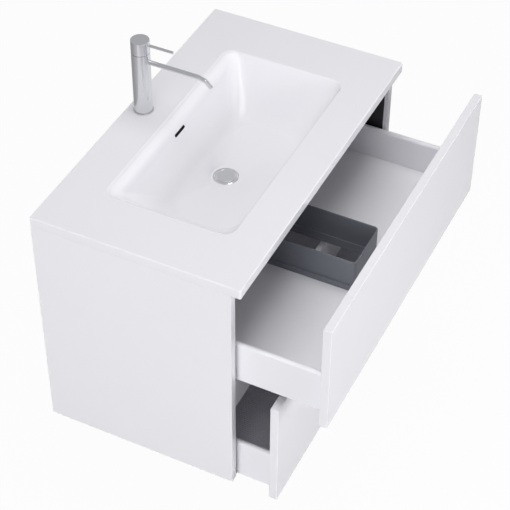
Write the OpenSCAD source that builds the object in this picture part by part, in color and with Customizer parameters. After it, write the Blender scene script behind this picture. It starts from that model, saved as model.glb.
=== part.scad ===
// Wall-hung vanity: a ceramic basin top with a tap, on a cabinet with two drawers.
// Millimetres. X runs to the right, Y towards the wall and Z up. The origin lies on the wall,
// at the centre of the rail that the cabinet hangs on. Both drawers stand part open.

/* [Basin] */
// Width of the basin top, left to right
basin_w = 800; // [700:10:1000]
// Depth of the basin top, wall to front edge
basin_d = 465; // [450:5:520]
// Thickness of the flat slab round the bowl
slab_t = 23; // [18:1:34]
// Radius of the slab's corners seen from above
slab_corner_r = 4; // [2:1:12]
// Width of the bowl's opening
bowl_w = 548; // [480:4:620]
// Distance from the wall to where the bowl starts to fall
bowl_back_gap = 95; // [86:1:105]
// Distance from the basin's front edge to the bowl's opening
bowl_front_gap = 85; // [78:1:110]
// Depth of the bowl at the waste
bowl_depth = 112; // [100:1:125]
// How much the bowl's floor falls towards the waste
floor_fall = 15; // [8:1:24]
// How far the bowl's side walls lean in from the rim to the floor
side_lean = 99; // [60:1:120]
// How far the bowl's front wall leans in
front_lean = 45; // [25:1:60]
// How far the bowl's back wall leans in
back_lean = 90; // [60:1:100]
// Corner radius of the bowl's opening
bowl_corner_r = 25; // [15:1:40]
// Corner radius of the bowl's floor
floor_corner_r = 60; // [45:1:70]
// Thickness of the bowl's wall, measured level and plumb
bowl_wall = 9; // [7:0.5:12]

/* [Overflow and waste hole] */
// Width of the overflow slot
overflow_w = 42; // [36:1:60]
// Height of the overflow slot
overflow_h = 6.5; // [4:0.5:9]
// Depth of the slot's centre below the slab's top
overflow_drop = 28; // [28:1:36]
// Width of the channel that leads from the slot to the waste
overflow_duct = 10; // [7:0.5:12]
// Distance from the wall to the centre of the waste hole
waste_back_gap = 230; // [220:1:250]
// Radius of the waste hole
waste_hole_r = 23; // [22:0.5:25]
// Radius of the flat seat round the waste hole
waste_seat_r = 32; // [31:0.5:36]
// Radius of the thick collar under the waste hole
waste_boss_r = 37; // [34:1:42]
// Height of that collar below the bowl's floor
waste_boss_h = 38; // [34:1:48]

/* [Cabinet] */
// Height of the side panels
cabinet_h = 555; // [540:5:620]
// How far the side panels stand back from the basin's ends
side_inset = 0.5; // [0:0.5:4]
// Thickness of the side panels
panel_t = 18; // [15:1:22]
// Thickness of the rails
rail_t = 16; // [12:1:19]
// Depth of the rail under the basin's front edge
front_rail_d = 45; // [30:1:52]
// Thickness of the upright rail between the drawers
mid_rail_t = 12; // [12:1:16]
// Height of that rail
mid_rail_h = 93; // [60:1:100]
// How far it stands back from the side panels' front edges
mid_rail_back = 9.5; // [3:0.5:15]
// Gap between it and the runners above it
mid_rail_gap = 5.5; // [3:0.5:12]
// Height of the upper back rail
back_rail_h = 100; // [96:2:120]
// Height of the lower back rail
low_rail_h = 80; // [60:5:120]
// Distance from the wall to the back rails
back_rail_gap = 12; // [12:0.5:20]
// Half width of the notch for the tap in the upper back rail
tap_notch_half = 45; // [32:1:60]
// Depth of that notch
tap_notch_h = 58; // [55:1:62]
// Radius of the dowels
dowel_r = 4; // [3:0.5:5]
// Length of the dowels
dowel_l = 30; // [24:1:40]
// Depth of a dowel's hole in the side panel
dowel_in = 12; // [8:0.5:13]
// Distance of a dowel from the edge of its rail
dowel_edge = 13; // [9:1:15]

/* [Wall hanging] */
// Distance from the wall rail's ends to the side panels
wall_rail_gap = 11.5; // [6:0.5:60]
// Height of the wall rail's plate
wall_rail_h = 40; // [34:1:50]
// Thickness of the steel of the wall rail and the hangers
hang_sheet = 2.5; // [2:0.1:2.6]
// Height of the wall rail's upright arm
hang_arm = 12; // [8:0.5:14]
// Distance from the wall to the front of the arm
hang_reach = 9; // [8:0.5:9]
// Play between the hook and the arm
hang_gap = 0.3; // [0.2:0.1:0.8]
// Width of a hanger
hanger_w = 60; // [40:2:90]
// Distance from a hanger to the side panel
hanger_gap = 31.5; // [16:0.5:90]
// Length of a hanger's plate below the hook
hanger_drop = 62; // [50:1:70]
// Distance of a wall bolt from the wall rail's end
wall_bolt_end = 120; // [105:5:220]
// Radius of the wall bolts' holes
wall_bolt_r = 4.25; // [3:0.25:5.5]

/* [Drawer fronts] */
// Thickness of the drawer fronts
front_t = 18; // [15:1:22]
// How far the closed fronts stand back from the basin's front edge
front_setback = 2; // [1:0.5:4]
// Gap between a closed front and the cabinet
front_gap = 1; // [0.5:0.5:3]
// Gap between the basin and the upper front
top_reveal = 3; // [2:0.5:6]
// Gap between the two fronts
mid_reveal = 5; // [3:0.5:8]
// Height of the upper front
upper_front_h = 270; // [264:1:280]
// How far the lower front hangs below the side panels
front_drop = 2; // [0:0.5:4]

/* [Drawers] */
// How far the upper drawer stands open
upper_open = 190; // [60:5:340]
// How far the lower drawer stands open
lower_open = 85; // [60:5:340]
// Height of the upper drawer's sides above the lower edge of its front
upper_side_rise = 18; // [12:1:24]
// Height of the lower drawer's sides above the lower edge of its front
lower_side_rise = 6; // [6:1:12]
// Height of the drawer sides
side_h = 102; // [96:1:110]
// Thickness of the double-walled drawer sides
side_w = 13; // [12:0.5:14]
// Distance from the closed drawers' sides to the back rails
side_back_gap = 19; // [17:1:35]
// Gap between a drawer side and the side panel
side_gap = 6; // [5.5:0.5:7]
// Thickness of the drawer sides' sheet
side_sheet = 1.2; // [0.8:0.1:1.5]
// Width of the ledge that carries the drawer floor
ledge_w = 12; // [8:1:18]
// Thickness of the drawer floors
floor_t = 9; // [6:0.5:12]
// Thickness of the drawer backs
back_t = 16; // [12:1:18]
// Height of the drawer backs
back_h = 72; // [60:1:74]
// Thickness of the lower drawer's mat
mat_t = 2; // [1:0.5:3]

/* [Runners] */
// Distance from the runners to the back rails
runner_back_gap = 14; // [12:1:24]
// How much shorter the middle slides are than the runners
slide_short = 20; // [12:1:40]
// Thickness of the runners' steel
runner_sheet = 1.5; // [1.2:0.1:1.8]
// Height of a runner's upright flange
runner_h = 43; // [36:1:50]
// How far a runner lies below its drawer side
runner_drop = 3; // [2.5:0.5:4]
// Distance from the panel to the runner's track
track_in = 13.5; // [13:0.5:14]
// Width of the track
track_w = 9; // [8:0.5:10]
// Height of the track's top above the drawer side's lower edge
track_h = 8.3; // [8:0.1:9]
// Thickness of the middle slides' steel
slide_sheet = 1.2; // [1:0.1:1.3]
// Thickness of the drawer members' steel
member_sheet = 1.7; // [1.4:0.1:1.8]
// Running gap between the sliding members
run_gap = 0.3; // [0.2:0.05:0.4]
// Radius of the screws' shanks
screw_r = 2; // [1.5:0.25:2.25]
// Radius of the screws' heads
screw_head_r = 3.5; // [2.5:0.25:3.75]
// Height of the screws' heads
screw_head_h = 1.8; // [1:0.1:2.4]
// Length of the screws' shanks
screw_l = 13; // [8:1:14]

/* [Siphon surround] */
// Width of the surround in the upper drawer
guard_w = 125; // [110:1:150]
// Height of the surround above the drawer floor
guard_h = 80; // [60:1:80]
// Distance from the front's back face to the surround
guard_front = 73; // [60:1:90]
// Thickness of the surround's wall
guard_t = 2.5; // [2:0.5:4]
// Radius of the surround's front corners
guard_r = 10; // [8:1:16]
// Height of the thicker foot inside the surround
guard_step_h = 13; // [6:1:40]
// How much that foot stands in
guard_step = 1.5; // [1:0.5:2]
// Height of the collar round the surround's foot
collar_h = 14; // [8:1:20]
// Thickness of the collar
collar_t = 3; // [2:0.5:5]

/* [Tap] */
// Distance from the wall to the tap's axis
tap_back_gap = 35; // [35:1:38]
// Radius of the tap's column
tap_r = 20; // [19.5:0.25:21]
// Height of the tap's top above the basin
tap_h = 181; // [165:1:220]
// Radius of the base ring
tap_ring_r = 22.5; // [22:0.5:25]
// Height of the base ring
tap_ring_h = 3; // [2:0.5:5]
// Height of the cap on top
cap_h = 29.6; // [28:0.2:34]
// Seam between the column and the cap
cap_seam = 0.8; // [0.8:0.1:1.2]
// Thickness of the cap's side wall
cap_wall = 3; // [2.8:0.1:3.2]
// Thickness of the cap's top
cap_top = 3.6; // [3:0.2:5]
// Radius of the lever rod
lever_r = 3; // [2:0.25:4]
// Distance of the lever rod below the tap's top
lever_drop = 8.5; // [8:0.5:12]
// Distance of the lever's end from the tap's axis
lever_reach = 78; // [60:1:100]
// Radius of the spout tube
spout_r = 5; // [4.5:0.25:6]
// Wall of the spout tube
spout_wall = 1.5; // [1:0.1:1.8]
// Distance of the spout below the tap's top
spout_drop = 51; // [48:1:70]
// Distance from the tap's axis to the spout's first bend
spout_reach = 134; // [110:1:160]
// Reach of the spout between its two bends
bend_reach = 17; // [12:1:22]
// Fall of the spout between its two bends
bend_fall = 5; // [3:1:8]
// Reach of the spout's tip past the second bend
tip_reach = 12.6; // [9:0.2:16]
// Fall of the spout's tip past the second bend
tip_fall = 13; // [10:1:18]
// How much the tube is swollen at its bends
bend_swell = 0.3; // [0.2:0.1:0.5]
// Radius of the hole in the basin for the tap
tap_hole_r = 17.5; // [16.5:0.25:18]
// Radius of the spigot under the column
spigot_r = 15; // [15:0.25:16]
// Length of that spigot
spigot_h = 14; // [10:1:17]
// Radius of the chamber for the cartridge
chamber_r = 14; // [13:0.25:14.5]
// Height of the cartridge
cartridge_h = 12; // [10:0.5:14]
// Height of the ring that holds the cartridge
retainer_h = 5; // [3:0.5:6]
// Radius of the turning stem in the cartridge
stem_r = 6; // [5:0.25:7]
// Radius of the stem's head inside the cap
stem_head_r = 10; // [8:0.5:10.5]
// Height of the stem's head
stem_head_h = 15; // [10:0.5:16]
// Radius of the pin that the cap tilts on
pin_r = 1; // [0.8:0.1:1.1]
// Half length of that pin
pin_half = 5.5; // [4.5:0.25:5.5]
// Distance of the pin from the tap's axis
pin_back = 18; // [17.8:0.1:18.1]
// Height of the pin above the cap's lower edge
pin_rise = 2; // [1.9:0.1:2.2]
// Radius of the knuckle round the pin
knuckle_r = 1.8; // [1.6:0.05:1.8]
// Half width of the knuckle
knuckle_half = 3; // [2.5:0.25:3.5]
// Radius of the threaded holes for the supply hoses
inlet_r = 5; // [4:0.25:5.25]
// Depth of those threaded holes
inlet_l = 14; // [10:0.5:18]
// Distance of a supply hole from the middle
inlet_x = 7; // [6:0.25:7.5]
// Distance of the supply holes in front of the tap's axis
inlet_y = 4; // [3:0.25:5]
// Radius of the fixing stud
stud_r = 3; // [2.5:0.25:3.5]
// Distance of the stud behind the tap's axis
stud_y = 9; // [8.5:0.25:9.5]
// Length of the fixing stud
stud_l = 62; // [58:1:70]
// How far the stud is screwed into the column
stud_in = 12; // [8:1:16]
// Radius of the clamp plate under the basin
clamp_r = 24; // [21:0.5:26]
// Thickness of the clamp plate
clamp_t = 3; // [2:0.5:5]
// Width across the flats of the stud's nut
nut_w = 11; // [10:0.5:13]
// Height of the stud's nut
nut_h = 9; // [6:0.5:12]

/* [Waste] */
// Radius of the waste's flange
flange_r = 26.5; // [25:0.25:28]
// Thickness of the flange
flange_t = 2.5; // [2:0.25:3]
// How far the flange's top stands above the bowl's floor
flange_rise = 0.5; // [0:0.25:1.5]
// Gap round the flange in its recess in the ceramic
flange_gap = 1; // [0.5:0.25:2]
// Depth of the dish in the flange that the plug sits in
dish_depth = 1.75; // [1:0.25:1.75]
// Outer radius of the waste's threaded tube
tube_r = 20.95; // [20:0.05:21.5]
// Wall of the waste's tube
tube_wall = 2.45; // [2:0.05:3]
// Length of the tube below the bowl's floor
tube_l = 62; // [59:1:70]
// Outer radius of the plain tail that goes into the trap
tail_r = 16; // [15:0.25:17]
// Wall of that tail
tail_wall = 1.5; // [1:0.1:2.5]
// Length of the tail below the threaded tube
tail_l = 45; // [30:1:60]
// Thickness of the gasket under the flange
seal_top_t = 1.5; // [1:0.25:3]
// Thickness of the gasket under the collar
seal_low_t = 3; // [2:0.5:5]
// Radius of the gasket under the collar
seal_r = 28; // [26:0.5:29]
// Radius of the back nut
back_nut_r = 29; // [26:0.5:32]
// Height of the back nut
back_nut_h = 9; // [6:0.5:12]
// Radius of the plug
plug_r = 20.5; // [19.75:0.25:22]
// Gap between the plug and the wall of its dish
plug_gap = 0.3; // [0.2:0.05:0.4]
// Thickness of the plug's edge
plug_t = 2.5; // [2:0.25:4]
// Length of the plug's stem below its guide
plug_tail = 2; // [1:0.5:4]
// Radius of the plug's stem
plug_stem_r = 2.4; // [2:0.1:3]
// Play round the plug's stem
plug_play = 0.1; // [0.05:0.05:0.3]
// Depth of the stem's guide below the bowl's floor
guide_drop = 32; // [28:1:36]
// Height of the guide's hub
guide_h = 8; // [5:0.5:12]
// Radius of the guide's hub
guide_r = 5; // [4:0.25:7]
// Thickness of the bar that carries the hub
guide_bar = 3; // [2:0.25:5]

/* [Hidden] */
$fn = 48;

// Overrun of every cut
cut = 1;
// Left and right
LEFT = -1;
RIGHT = 1;

// Levels
under_z = back_rail_h / 2;
top_z = under_z + slab_t;
bottom_z = under_z - cabinet_h;
half_w = basin_w / 2 - side_inset;
in_x = half_w - panel_t;
closed_y = -(basin_d - front_setback - front_t);
cab_front_y = closed_y + front_gap;
rail_y = -back_rail_gap;

// Drawer fronts
upper_top_z = under_z - top_reveal;
upper_low_z = upper_top_z - upper_front_h;
lower_top_z = upper_low_z - mid_reveal;
lower_low_z = bottom_z - front_drop;
upper_z = upper_low_z + upper_side_rise;
lower_z = lower_low_z + lower_side_rise;

// Drawer sections, with s the distance in from the side panel
bracket_t = 2;
slide_in = track_in - run_gap - slide_sheet;
slide_out = track_in + track_w + run_gap + slide_sheet;
slide_top = track_h + run_gap + slide_sheet;
member_in = slide_in - run_gap - member_sheet;
member_out = slide_out + run_gap + member_sheet;
member_top = slide_top + run_gap + member_sheet;
ledge_top = member_top + side_sheet;
floor_top = ledge_top + floor_t;
side_out = side_gap + side_w;
floor_half = in_x - side_out;
channel_low = run_gap + side_sheet / 2;
runner_end = 2;
runner_y = cab_front_y + runner_end;
runner_l = rail_y - rail_t - runner_back_gap - runner_y;
slide_l = runner_l - slide_short;
side_l = rail_y - rail_t - side_back_gap - closed_y - bracket_t;

// Bowl outline: each row gives the depth of a ring, then how far the side, front and back
// walls have come in by then, all as shares
bowl_shares = [
    [0.000, 0.000, 0.000, 0.000],
    [0.015, 0.012, 0.020, 0.060],
    [0.050, 0.035, 0.045, 0.130],
    [0.120, 0.085, 0.090, 0.200],
    [0.200, 0.150, 0.140, 0.250],
    [0.290, 0.225, 0.200, 0.290],
    [0.420, 0.335, 0.300, 0.370],
    [0.550, 0.450, 0.400, 0.460],
    [0.680, 0.570, 0.510, 0.570],
    [0.800, 0.690, 0.630, 0.690],
    [0.900, 0.810, 0.760, 0.810],
    [0.960, 0.910, 0.880, 0.910],
    [1.000, 1.000, 1.000, 1.000]];
// Rings of the floor, as shares of the way to the waste and of the fall
floor_shares = [[0.30, 0.22], [0.65, 0.58], [1.00, 1.00]];
ring_n = 6;
back_share = [for (row = bowl_shares) [row[0], row[3]]];
wall_depth = bowl_depth - floor_fall;
waste_y = -waste_back_gap;
bowl_z = top_z - bowl_depth;
tap_y = -tap_back_gap;

// One ring: half width, back and front places, corner radius and height
function ring(xh, yb, yf, r, z) = [
    for (q = [0 : 3])
        for (k = [0 : ring_n])
            let (a = 90 * (q + k / ring_n))
            let (cx = (q == 0 || q == 3) ? xh - r : r - xh)
            let (cy = q < 2 ? yb - r : yf + r)
            [cx + r * cos(a), cy + r * sin(a), z]];

function bowl_half(s) = bowl_w / 2 - side_lean * s;
function bowl_back(s) = -bowl_back_gap - back_lean * s;
function bowl_front(s) = bowl_front_gap - basin_d + front_lean * s;
function back_at(depth) = bowl_back(lookup(depth / wall_depth, back_share));
function mix(a, b, s) = a + (b - a) * s;

// All rings of the bowl, grown by g sideways and down
function bowl_rings(g) = concat(
    [for (row = bowl_shares)
        ring(bowl_half(row[1]) + g, bowl_back(row[3]) + g, bowl_front(row[2]) - g,
            mix(bowl_corner_r, floor_corner_r, row[0]) + g, top_z - wall_depth * row[0] - g)],
    [for (row = floor_shares)
        ring(mix(bowl_half(1), waste_seat_r, row[0]) + g,
            mix(bowl_back(1), waste_y + waste_seat_r, row[0]) + g,
            mix(bowl_front(1), waste_y - waste_seat_r, row[0]) - g,
            mix(floor_corner_r, waste_seat_r, row[0]) + g,
            top_z - wall_depth - floor_fall * row[1] - g)]);

module loft(rings) {
    n = len(rings[0]);
    last = len(rings) - 1;
    points = [for (r = rings) each r];
    top_face = [for (i = [n - 1 : -1 : 0]) i];
    low_face = [for (i = [0 : n - 1]) last * n + i];
    side_a = [for (k = [0 : last - 1]) for (i = [0 : n - 1])
        [k * n + i, k * n + (i + 1) % n, (k + 1) * n + (i + 1) % n]];
    side_b = [for (k = [0 : last - 1]) for (i = [0 : n - 1])
        [k * n + i, (k + 1) * n + (i + 1) % n, (k + 1) * n + i]];
    polyhedron(points, concat([top_face], side_a, side_b, [low_face]));
}

// Simple solids between two places
module block(x0, x1, y0, y1, z0, z1) {
    translate([x0, y0, z0]) cube([x1 - x0, y1 - y0, z1 - z0]);
}

module rod_x(x0, x1, y, z, r) {
    translate([x0, y, z]) rotate([0, 90, 0]) cylinder(h = x1 - x0, r = r);
}

module rod_y(x, y0, y1, z, r) {
    translate([x, y0, z]) rotate([-90, 0, 0]) cylinder(h = y1 - y0, r = r);
}

module rod_z(x, y, z0, z1, r) {
    translate([x, y, z0]) cylinder(h = z1 - z0, r = r);
}

// A section drawn in s and height, run along Y
module along_y(y0, y1) {
    translate([0, y1, 0]) rotate([90, 0, 0]) linear_extrude(y1 - y0) children();
}

module patch(s0, s1, z0, z1) {
    translate([s0, z0]) square([s1 - s0, z1 - z0]);
}

// Places a part drawn for the left panel at either panel
module at_side(side) {
    if (side == LEFT)
        translate([-in_x, 0, 0]) children();
    else
        mirror([1, 0, 0]) translate([-in_x, 0, 0]) children();
}

// ---- Basin ----

module slab_outline() {
    w = basin_w / 2;
    r = slab_corner_r;
    translate([-w + r, -basin_d]) square([2 * (w - r), basin_d]);
    translate([-w, r - basin_d]) square([2 * w, basin_d - 2 * r]);
    for (x = [r - w, w - r])
        for (y = [r - basin_d, -r])
            translate([x, y]) circle(r);
}

// Section of the channel behind the bowl's back wall, from d0 to d1 out from the bowl
module duct_section(d0, d1, top, low, end_y) {
    z0 = top_z - wall_depth;
    steps = [for (row = back_share) if (row[0] * wall_depth > top_z - top) row];
    near = [for (row = steps) [bowl_back(row[1]) + d0, top_z - row[0] * wall_depth]];
    far = [for (i = [len(steps) - 1 : -1 : 0])
        [bowl_back(steps[i][1]) + d1, top_z - steps[i][0] * wall_depth]];
    polygon(concat([[back_at(top_z - top) + d0, top]], near,
        [[end_y, z0 - floor_fall - bowl_wall], [end_y, low], [bowl_back(1) + d1, low]],
        far, [[back_at(top_z - top) + d1, top]]));
}

// Runs a section drawn in Y and height across X
module across_x(w) {
    translate([-w / 2, 0, 0]) rotate([90, 0, 90]) linear_extrude(w) children();
}

module basin() {
    duct_top = top_z - overflow_drop + overflow_h / 2;
    duct_low = bowl_z - bowl_wall - overflow_duct;
    slot_y = back_at(overflow_drop);
    inner = bowl_rings(0);
    lid = [for (p = inner[0]) [p[0], p[1], top_z + cut]];
    color("white") difference() {
        union() {
            translate([0, 0, under_z]) linear_extrude(slab_t) slab_outline();
            loft(bowl_rings(bowl_wall));
            rod_z(0, waste_y, bowl_z - waste_boss_h, bowl_z - cut, waste_boss_r);
            across_x(overflow_w + 2 * bowl_wall)
                duct_section(0, 2 * bowl_wall + overflow_duct, under_z + cut,
                    duct_low - bowl_wall, waste_y);
        }
        loft(concat([lid], inner));
        rod_z(0, waste_y, bowl_z - waste_boss_h - cut, top_z, waste_hole_r);
        rod_z(0, waste_y, flange_z - seal_top_t, top_z, flange_r + flange_gap);
        rod_z(0, tap_y, under_z - cut, top_z + cut, tap_hole_r);
        across_x(overflow_w)
            duct_section(bowl_wall, bowl_wall + overflow_duct, duct_top, duct_low,
                waste_y + waste_hole_r / 2);
        translate([0, slot_y + bowl_wall + overflow_duct / 2, top_z - overflow_drop])
            translate([-overflow_w / 2, -2 * bowl_wall - overflow_duct, -overflow_h / 2])
            cube([overflow_w, 2 * bowl_wall + overflow_duct, overflow_h]);
    }
}

// ---- Cabinet ----

mid_rail_y = cab_front_y + mid_rail_back;
mid_top_z = upper_z - runner_drop - mid_rail_gap;

// Dowels lie across each rail's end: [Y, Z] of every dowel
dowel_spots = [
    [cab_front_y + dowel_edge, under_z - rail_t / 2],
    [cab_front_y + front_rail_d - dowel_edge, under_z - rail_t / 2],
    [mid_rail_y + mid_rail_t / 2, mid_top_z - dowel_edge],
    [mid_rail_y + mid_rail_t / 2, mid_top_z - mid_rail_h + dowel_edge],
    [rail_y - rail_t / 2, under_z - dowel_edge],
    [rail_y - rail_t / 2, under_z - back_rail_h + dowel_edge],
    [rail_y - rail_t / 2, bottom_z + low_rail_h - dowel_edge],
    [rail_y - rail_t / 2, bottom_z + dowel_edge]];

module dowels() {
    for (p = dowel_spots)
        for (x = [-in_x - dowel_in, in_x + dowel_in - dowel_l])
            rod_x(x, x + dowel_l, p[0], p[1], dowel_r);
}

module panel_dowels() {
    color("burlywood") dowels();
}

// Screws of the runners, in s and Y for a runner at height z
runner_screw_shares = [0.08, 0.45, 0.92];
runner_screw_rise = runner_h - runner_drop - 2 * screw_head_r;

module runner_screw_set(z) {
    for (share = runner_screw_shares) {
        y = runner_y + runner_l * share;
        rod_x(runner_sheet - screw_l, runner_sheet, y, z + runner_screw_rise, screw_r);
        rod_x(runner_sheet, runner_sheet + screw_head_h, y, z + runner_screw_rise, screw_head_r);
    }
}

module side_panel(side) {
    difference() {
        at_side(side) block(-panel_t, 0, cab_front_y, 0, bottom_z, under_z);
        dowels();
        for (z = [upper_z, lower_z])
            at_side(side) runner_screw_set(z);
    }
}

module side_panel_left() {
    color("whitesmoke") side_panel(LEFT);
}

module side_panel_right() {
    color("whitesmoke") side_panel(RIGHT);
}

module rail(y0, d, z1, h) {
    difference() {
        block(-in_x, in_x, y0, y0 + d, z1 - h, z1);
        dowels();
    }
}

module top_front_rail() {
    color("gainsboro") rail(cab_front_y, front_rail_d, under_z, rail_t);
}

module mid_rail() {
    color("gainsboro") rail(mid_rail_y, mid_rail_t, mid_top_z, mid_rail_h);
}

module hanger_screw_set() {
    for (side = [LEFT, RIGHT])
        for (z = [-hanger_drop / 2 + hang_top_z / 2, -wall_rail_h / 4])
            for (x = [-hanger_w / 4, hanger_w / 4]) {
                rod_y(side * hanger_x + x, hook_y - screw_l, hook_y, z, screw_r);
                rod_y(side * hanger_x + x, hook_y, hook_y + screw_head_h, z, screw_head_r);
            }
}

module back_rail_top() {
    color("gainsboro") difference() {
        rail(rail_y - rail_t, rail_t, under_z, back_rail_h);
        block(-tap_notch_half, tap_notch_half, rail_y - rail_t - cut, rail_y + cut,
            under_z - tap_notch_h, under_z + cut);
        hanger_screw_set();
    }
}

module back_rail_bottom() {
    color("gainsboro") rail(rail_y - rail_t, rail_t, bottom_z + low_rail_h, low_rail_h);
}

// ---- Wall hanging ----

// Top of the arm, back face of the hook's plate and top of the hook
arm_top_z = wall_rail_h / 2 + hang_arm;
wall_rail_half = in_x - wall_rail_gap;
wall_bolt_x = wall_rail_half - wall_bolt_end;
hanger_x = in_x - hanger_gap - hanger_w / 2;
hook_y = -hang_reach - hang_gap;
hang_top_z = arm_top_z + hang_sheet;

module wall_rail() {
    color("silver") difference() {
        union() {
            block(-wall_rail_half, wall_rail_half, -hang_sheet, 0,
                -wall_rail_h / 2, wall_rail_h / 2);
            block(-wall_rail_half, wall_rail_half, -hang_reach, 0,
                wall_rail_h / 2 - hang_sheet, wall_rail_h / 2);
            block(-wall_rail_half, wall_rail_half, -hang_reach, hang_sheet - hang_reach,
                wall_rail_h / 2 - hang_sheet, arm_top_z);
        }
        for (x = [-wall_bolt_x, wall_bolt_x])
            rod_y(x, -hang_sheet - cut, cut, 0, wall_bolt_r);
    }
}

module hangers() {
    hook_back = hang_sheet + hang_gap - hang_reach;
    color("silver") difference() {
        for (x = [-hanger_x - hanger_w / 2, hanger_x - hanger_w / 2]) {
            block(x, x + hanger_w, rail_y, hook_y, hang_top_z - hanger_drop, hang_top_z);
            block(x, x + hanger_w, rail_y, hook_back + hang_sheet, arm_top_z, hang_top_z);
            block(x, x + hanger_w, hook_back, hook_back + hang_sheet,
                wall_rail_h / 2 + hang_gap, hang_top_z);
        }
        hanger_screw_set();
    }
}

module hanger_screws() {
    color("dimgray") hanger_screw_set();
}

// ---- Runners ----

module runner(side, z) {
    low = z - runner_drop;
    top = z + track_h;
    s1 = track_in + track_w;
    color("silver") difference() {
        at_side(side) along_y(runner_y, runner_y + runner_l) {
            patch(0, runner_sheet, low, low + runner_h);
            patch(0, track_in + runner_sheet, low, low + runner_sheet);
            patch(track_in, track_in + runner_sheet, low, top);
            patch(track_in, s1, top - runner_sheet, top);
            patch(s1 - runner_sheet, s1, low, top);
        }
        at_side(side) runner_screw_set(z);
    }
}

module runner_upper_left() {
    runner(LEFT, upper_z);
}

module runner_upper_right() {
    runner(RIGHT, upper_z);
}

module runner_lower_left() {
    runner(LEFT, lower_z);
}

module runner_lower_right() {
    runner(RIGHT, lower_z);
}

module runner_screws() {
    color("dimgray")
        for (side = [LEFT, RIGHT])
            for (z = [upper_z, lower_z])
                at_side(side) runner_screw_set(z);
}

// An upturned channel between two places in s
module channel(s0, s1, low, top, t) {
    patch(s0, s0 + t, low, top);
    patch(s1 - t, s1, low, top);
    patch(s0, s1, top - t, top);
}

module slide(side, z, open) {
    y0 = runner_y - open / 2;
    color("gray") at_side(side) along_y(y0, y0 + slide_l)
        channel(slide_in, slide_out, z + channel_low, z + slide_top, slide_sheet);
}

module slide_upper_left() {
    slide(LEFT, upper_z, upper_open);
}

module slide_upper_right() {
    slide(RIGHT, upper_z, upper_open);
}

module slide_lower_left() {
    slide(LEFT, lower_z, lower_open);
}

module slide_lower_right() {
    slide(RIGHT, lower_z, lower_open);
}

module member(side, z, open) {
    y0 = closed_y - open + bracket_t;
    color("silver") at_side(side) along_y(y0, y0 + side_l)
        channel(member_in, member_out, z + channel_low, z + member_top, member_sheet);
}

module member_upper_left() {
    member(LEFT, upper_z, upper_open);
}

module member_upper_right() {
    member(RIGHT, upper_z, upper_open);
}

module member_lower_left() {
    member(LEFT, lower_z, lower_open);
}

module member_lower_right() {
    member(RIGHT, lower_z, lower_open);
}

// ---- Drawers ----

bracket_low = floor_top + 2 * screw_head_r;
bracket_top = side_h - side_w;
tongue_h = (bracket_top - bracket_low) / 3;
tongue_l = 50;

module bracket_screw_set(z, open) {
    y = closed_y - open + bracket_t;
    s = side_gap + side_w / 2;
    for (side = [LEFT, RIGHT])
        for (h = [bracket_low + screw_head_r + cut, bracket_top - screw_head_r - cut]) {
            at_side(side) rod_y(s, y - screw_l, y, z + h, screw_r);
            at_side(side) rod_y(s, y, y + screw_head_h, z + h, screw_head_r);
        }
}

module drawer_front(z0, z1, z, open) {
    color("white") difference() {
        block(-half_w, half_w, closed_y - open - front_t, closed_y - open, z0, z1);
        bracket_screw_set(z, open);
    }
}

module upper_front() {
    drawer_front(upper_low_z, upper_top_z, upper_z, upper_open);
}

module lower_front() {
    drawer_front(lower_low_z, lower_top_z, lower_z, lower_open);
}

module drawer_side(side, z, open) {
    y0 = closed_y - open + bracket_t;
    r = side_w / 2;
    top = z + side_h - r;
    mid = side_gap + r;
    color("lightgray") at_side(side) along_y(y0, y0 + side_l) {
        patch(side_gap, side_gap + side_sheet, z, top);
        patch(side_out - side_sheet, side_out, z + member_top, top);
        patch(side_gap, side_out + ledge_w, z + member_top, z + ledge_top);
        difference() {
            translate([mid, top]) circle(r);
            translate([mid, top]) circle(r - side_sheet);
            patch(mid - 2 * r, mid + 2 * r, top - 2 * r, top);
        }
    }
}

module upper_side_left() {
    drawer_side(LEFT, upper_z, upper_open);
}

module upper_side_right() {
    drawer_side(RIGHT, upper_z, upper_open);
}

module lower_side_left() {
    drawer_side(LEFT, lower_z, lower_open);
}

module lower_side_right() {
    drawer_side(RIGHT, lower_z, lower_open);
}

// A U seen from above, open towards the wall, with rounded front corners
module u_outline(half, y0, y1, r) {
    translate([r - half, y0]) square([2 * (half - r), y1 - y0]);
    translate([-half, y0 + r]) square([2 * half, y1 - y0 - r]);
    for (x = [r - half, half - r])
        translate([x, y0 + r]) circle(r);
}

upper_y0 = closed_y - upper_open + bracket_t;
upper_y1 = upper_y0 + side_l;
lower_y0 = closed_y - lower_open + bracket_t;
lower_y1 = lower_y0 + side_l;
guard_y = closed_y - upper_open + guard_front;
guard_half = guard_w / 2;

module guard_shell(g, low, h, y1) {
    translate([0, 0, low]) linear_extrude(h)
        u_outline(guard_half - g, guard_y + g, y1, guard_r - g);
}

module upper_floor() {
    low = upper_z + ledge_top;
    color("white") difference() {
        block(-floor_half, floor_half, upper_y0, upper_y1, low, low + floor_t);
        guard_shell(guard_t, low - cut, floor_t + 2 * cut, upper_y1 + cut);
    }
}

module lower_floor() {
    low = lower_z + ledge_top;
    color("dimgray") block(-floor_half, floor_half, lower_y0, lower_y1, low, low + floor_t);
}

module upper_back(side) {
    low = upper_z + floor_top;
    color("whitesmoke") mirror([side == LEFT ? 0 : 1, 0, 0])
        block(-floor_half, -guard_half - collar_t, upper_y1 - back_t, upper_y1, low, low + back_h);
}

module upper_back_left() {
    upper_back(LEFT);
}

module upper_back_right() {
    upper_back(RIGHT);
}

module lower_back() {
    low = lower_z + floor_top;
    color("whitesmoke")
        block(-floor_half, floor_half, lower_y1 - back_t, lower_y1, low, low + back_h);
}

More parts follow.
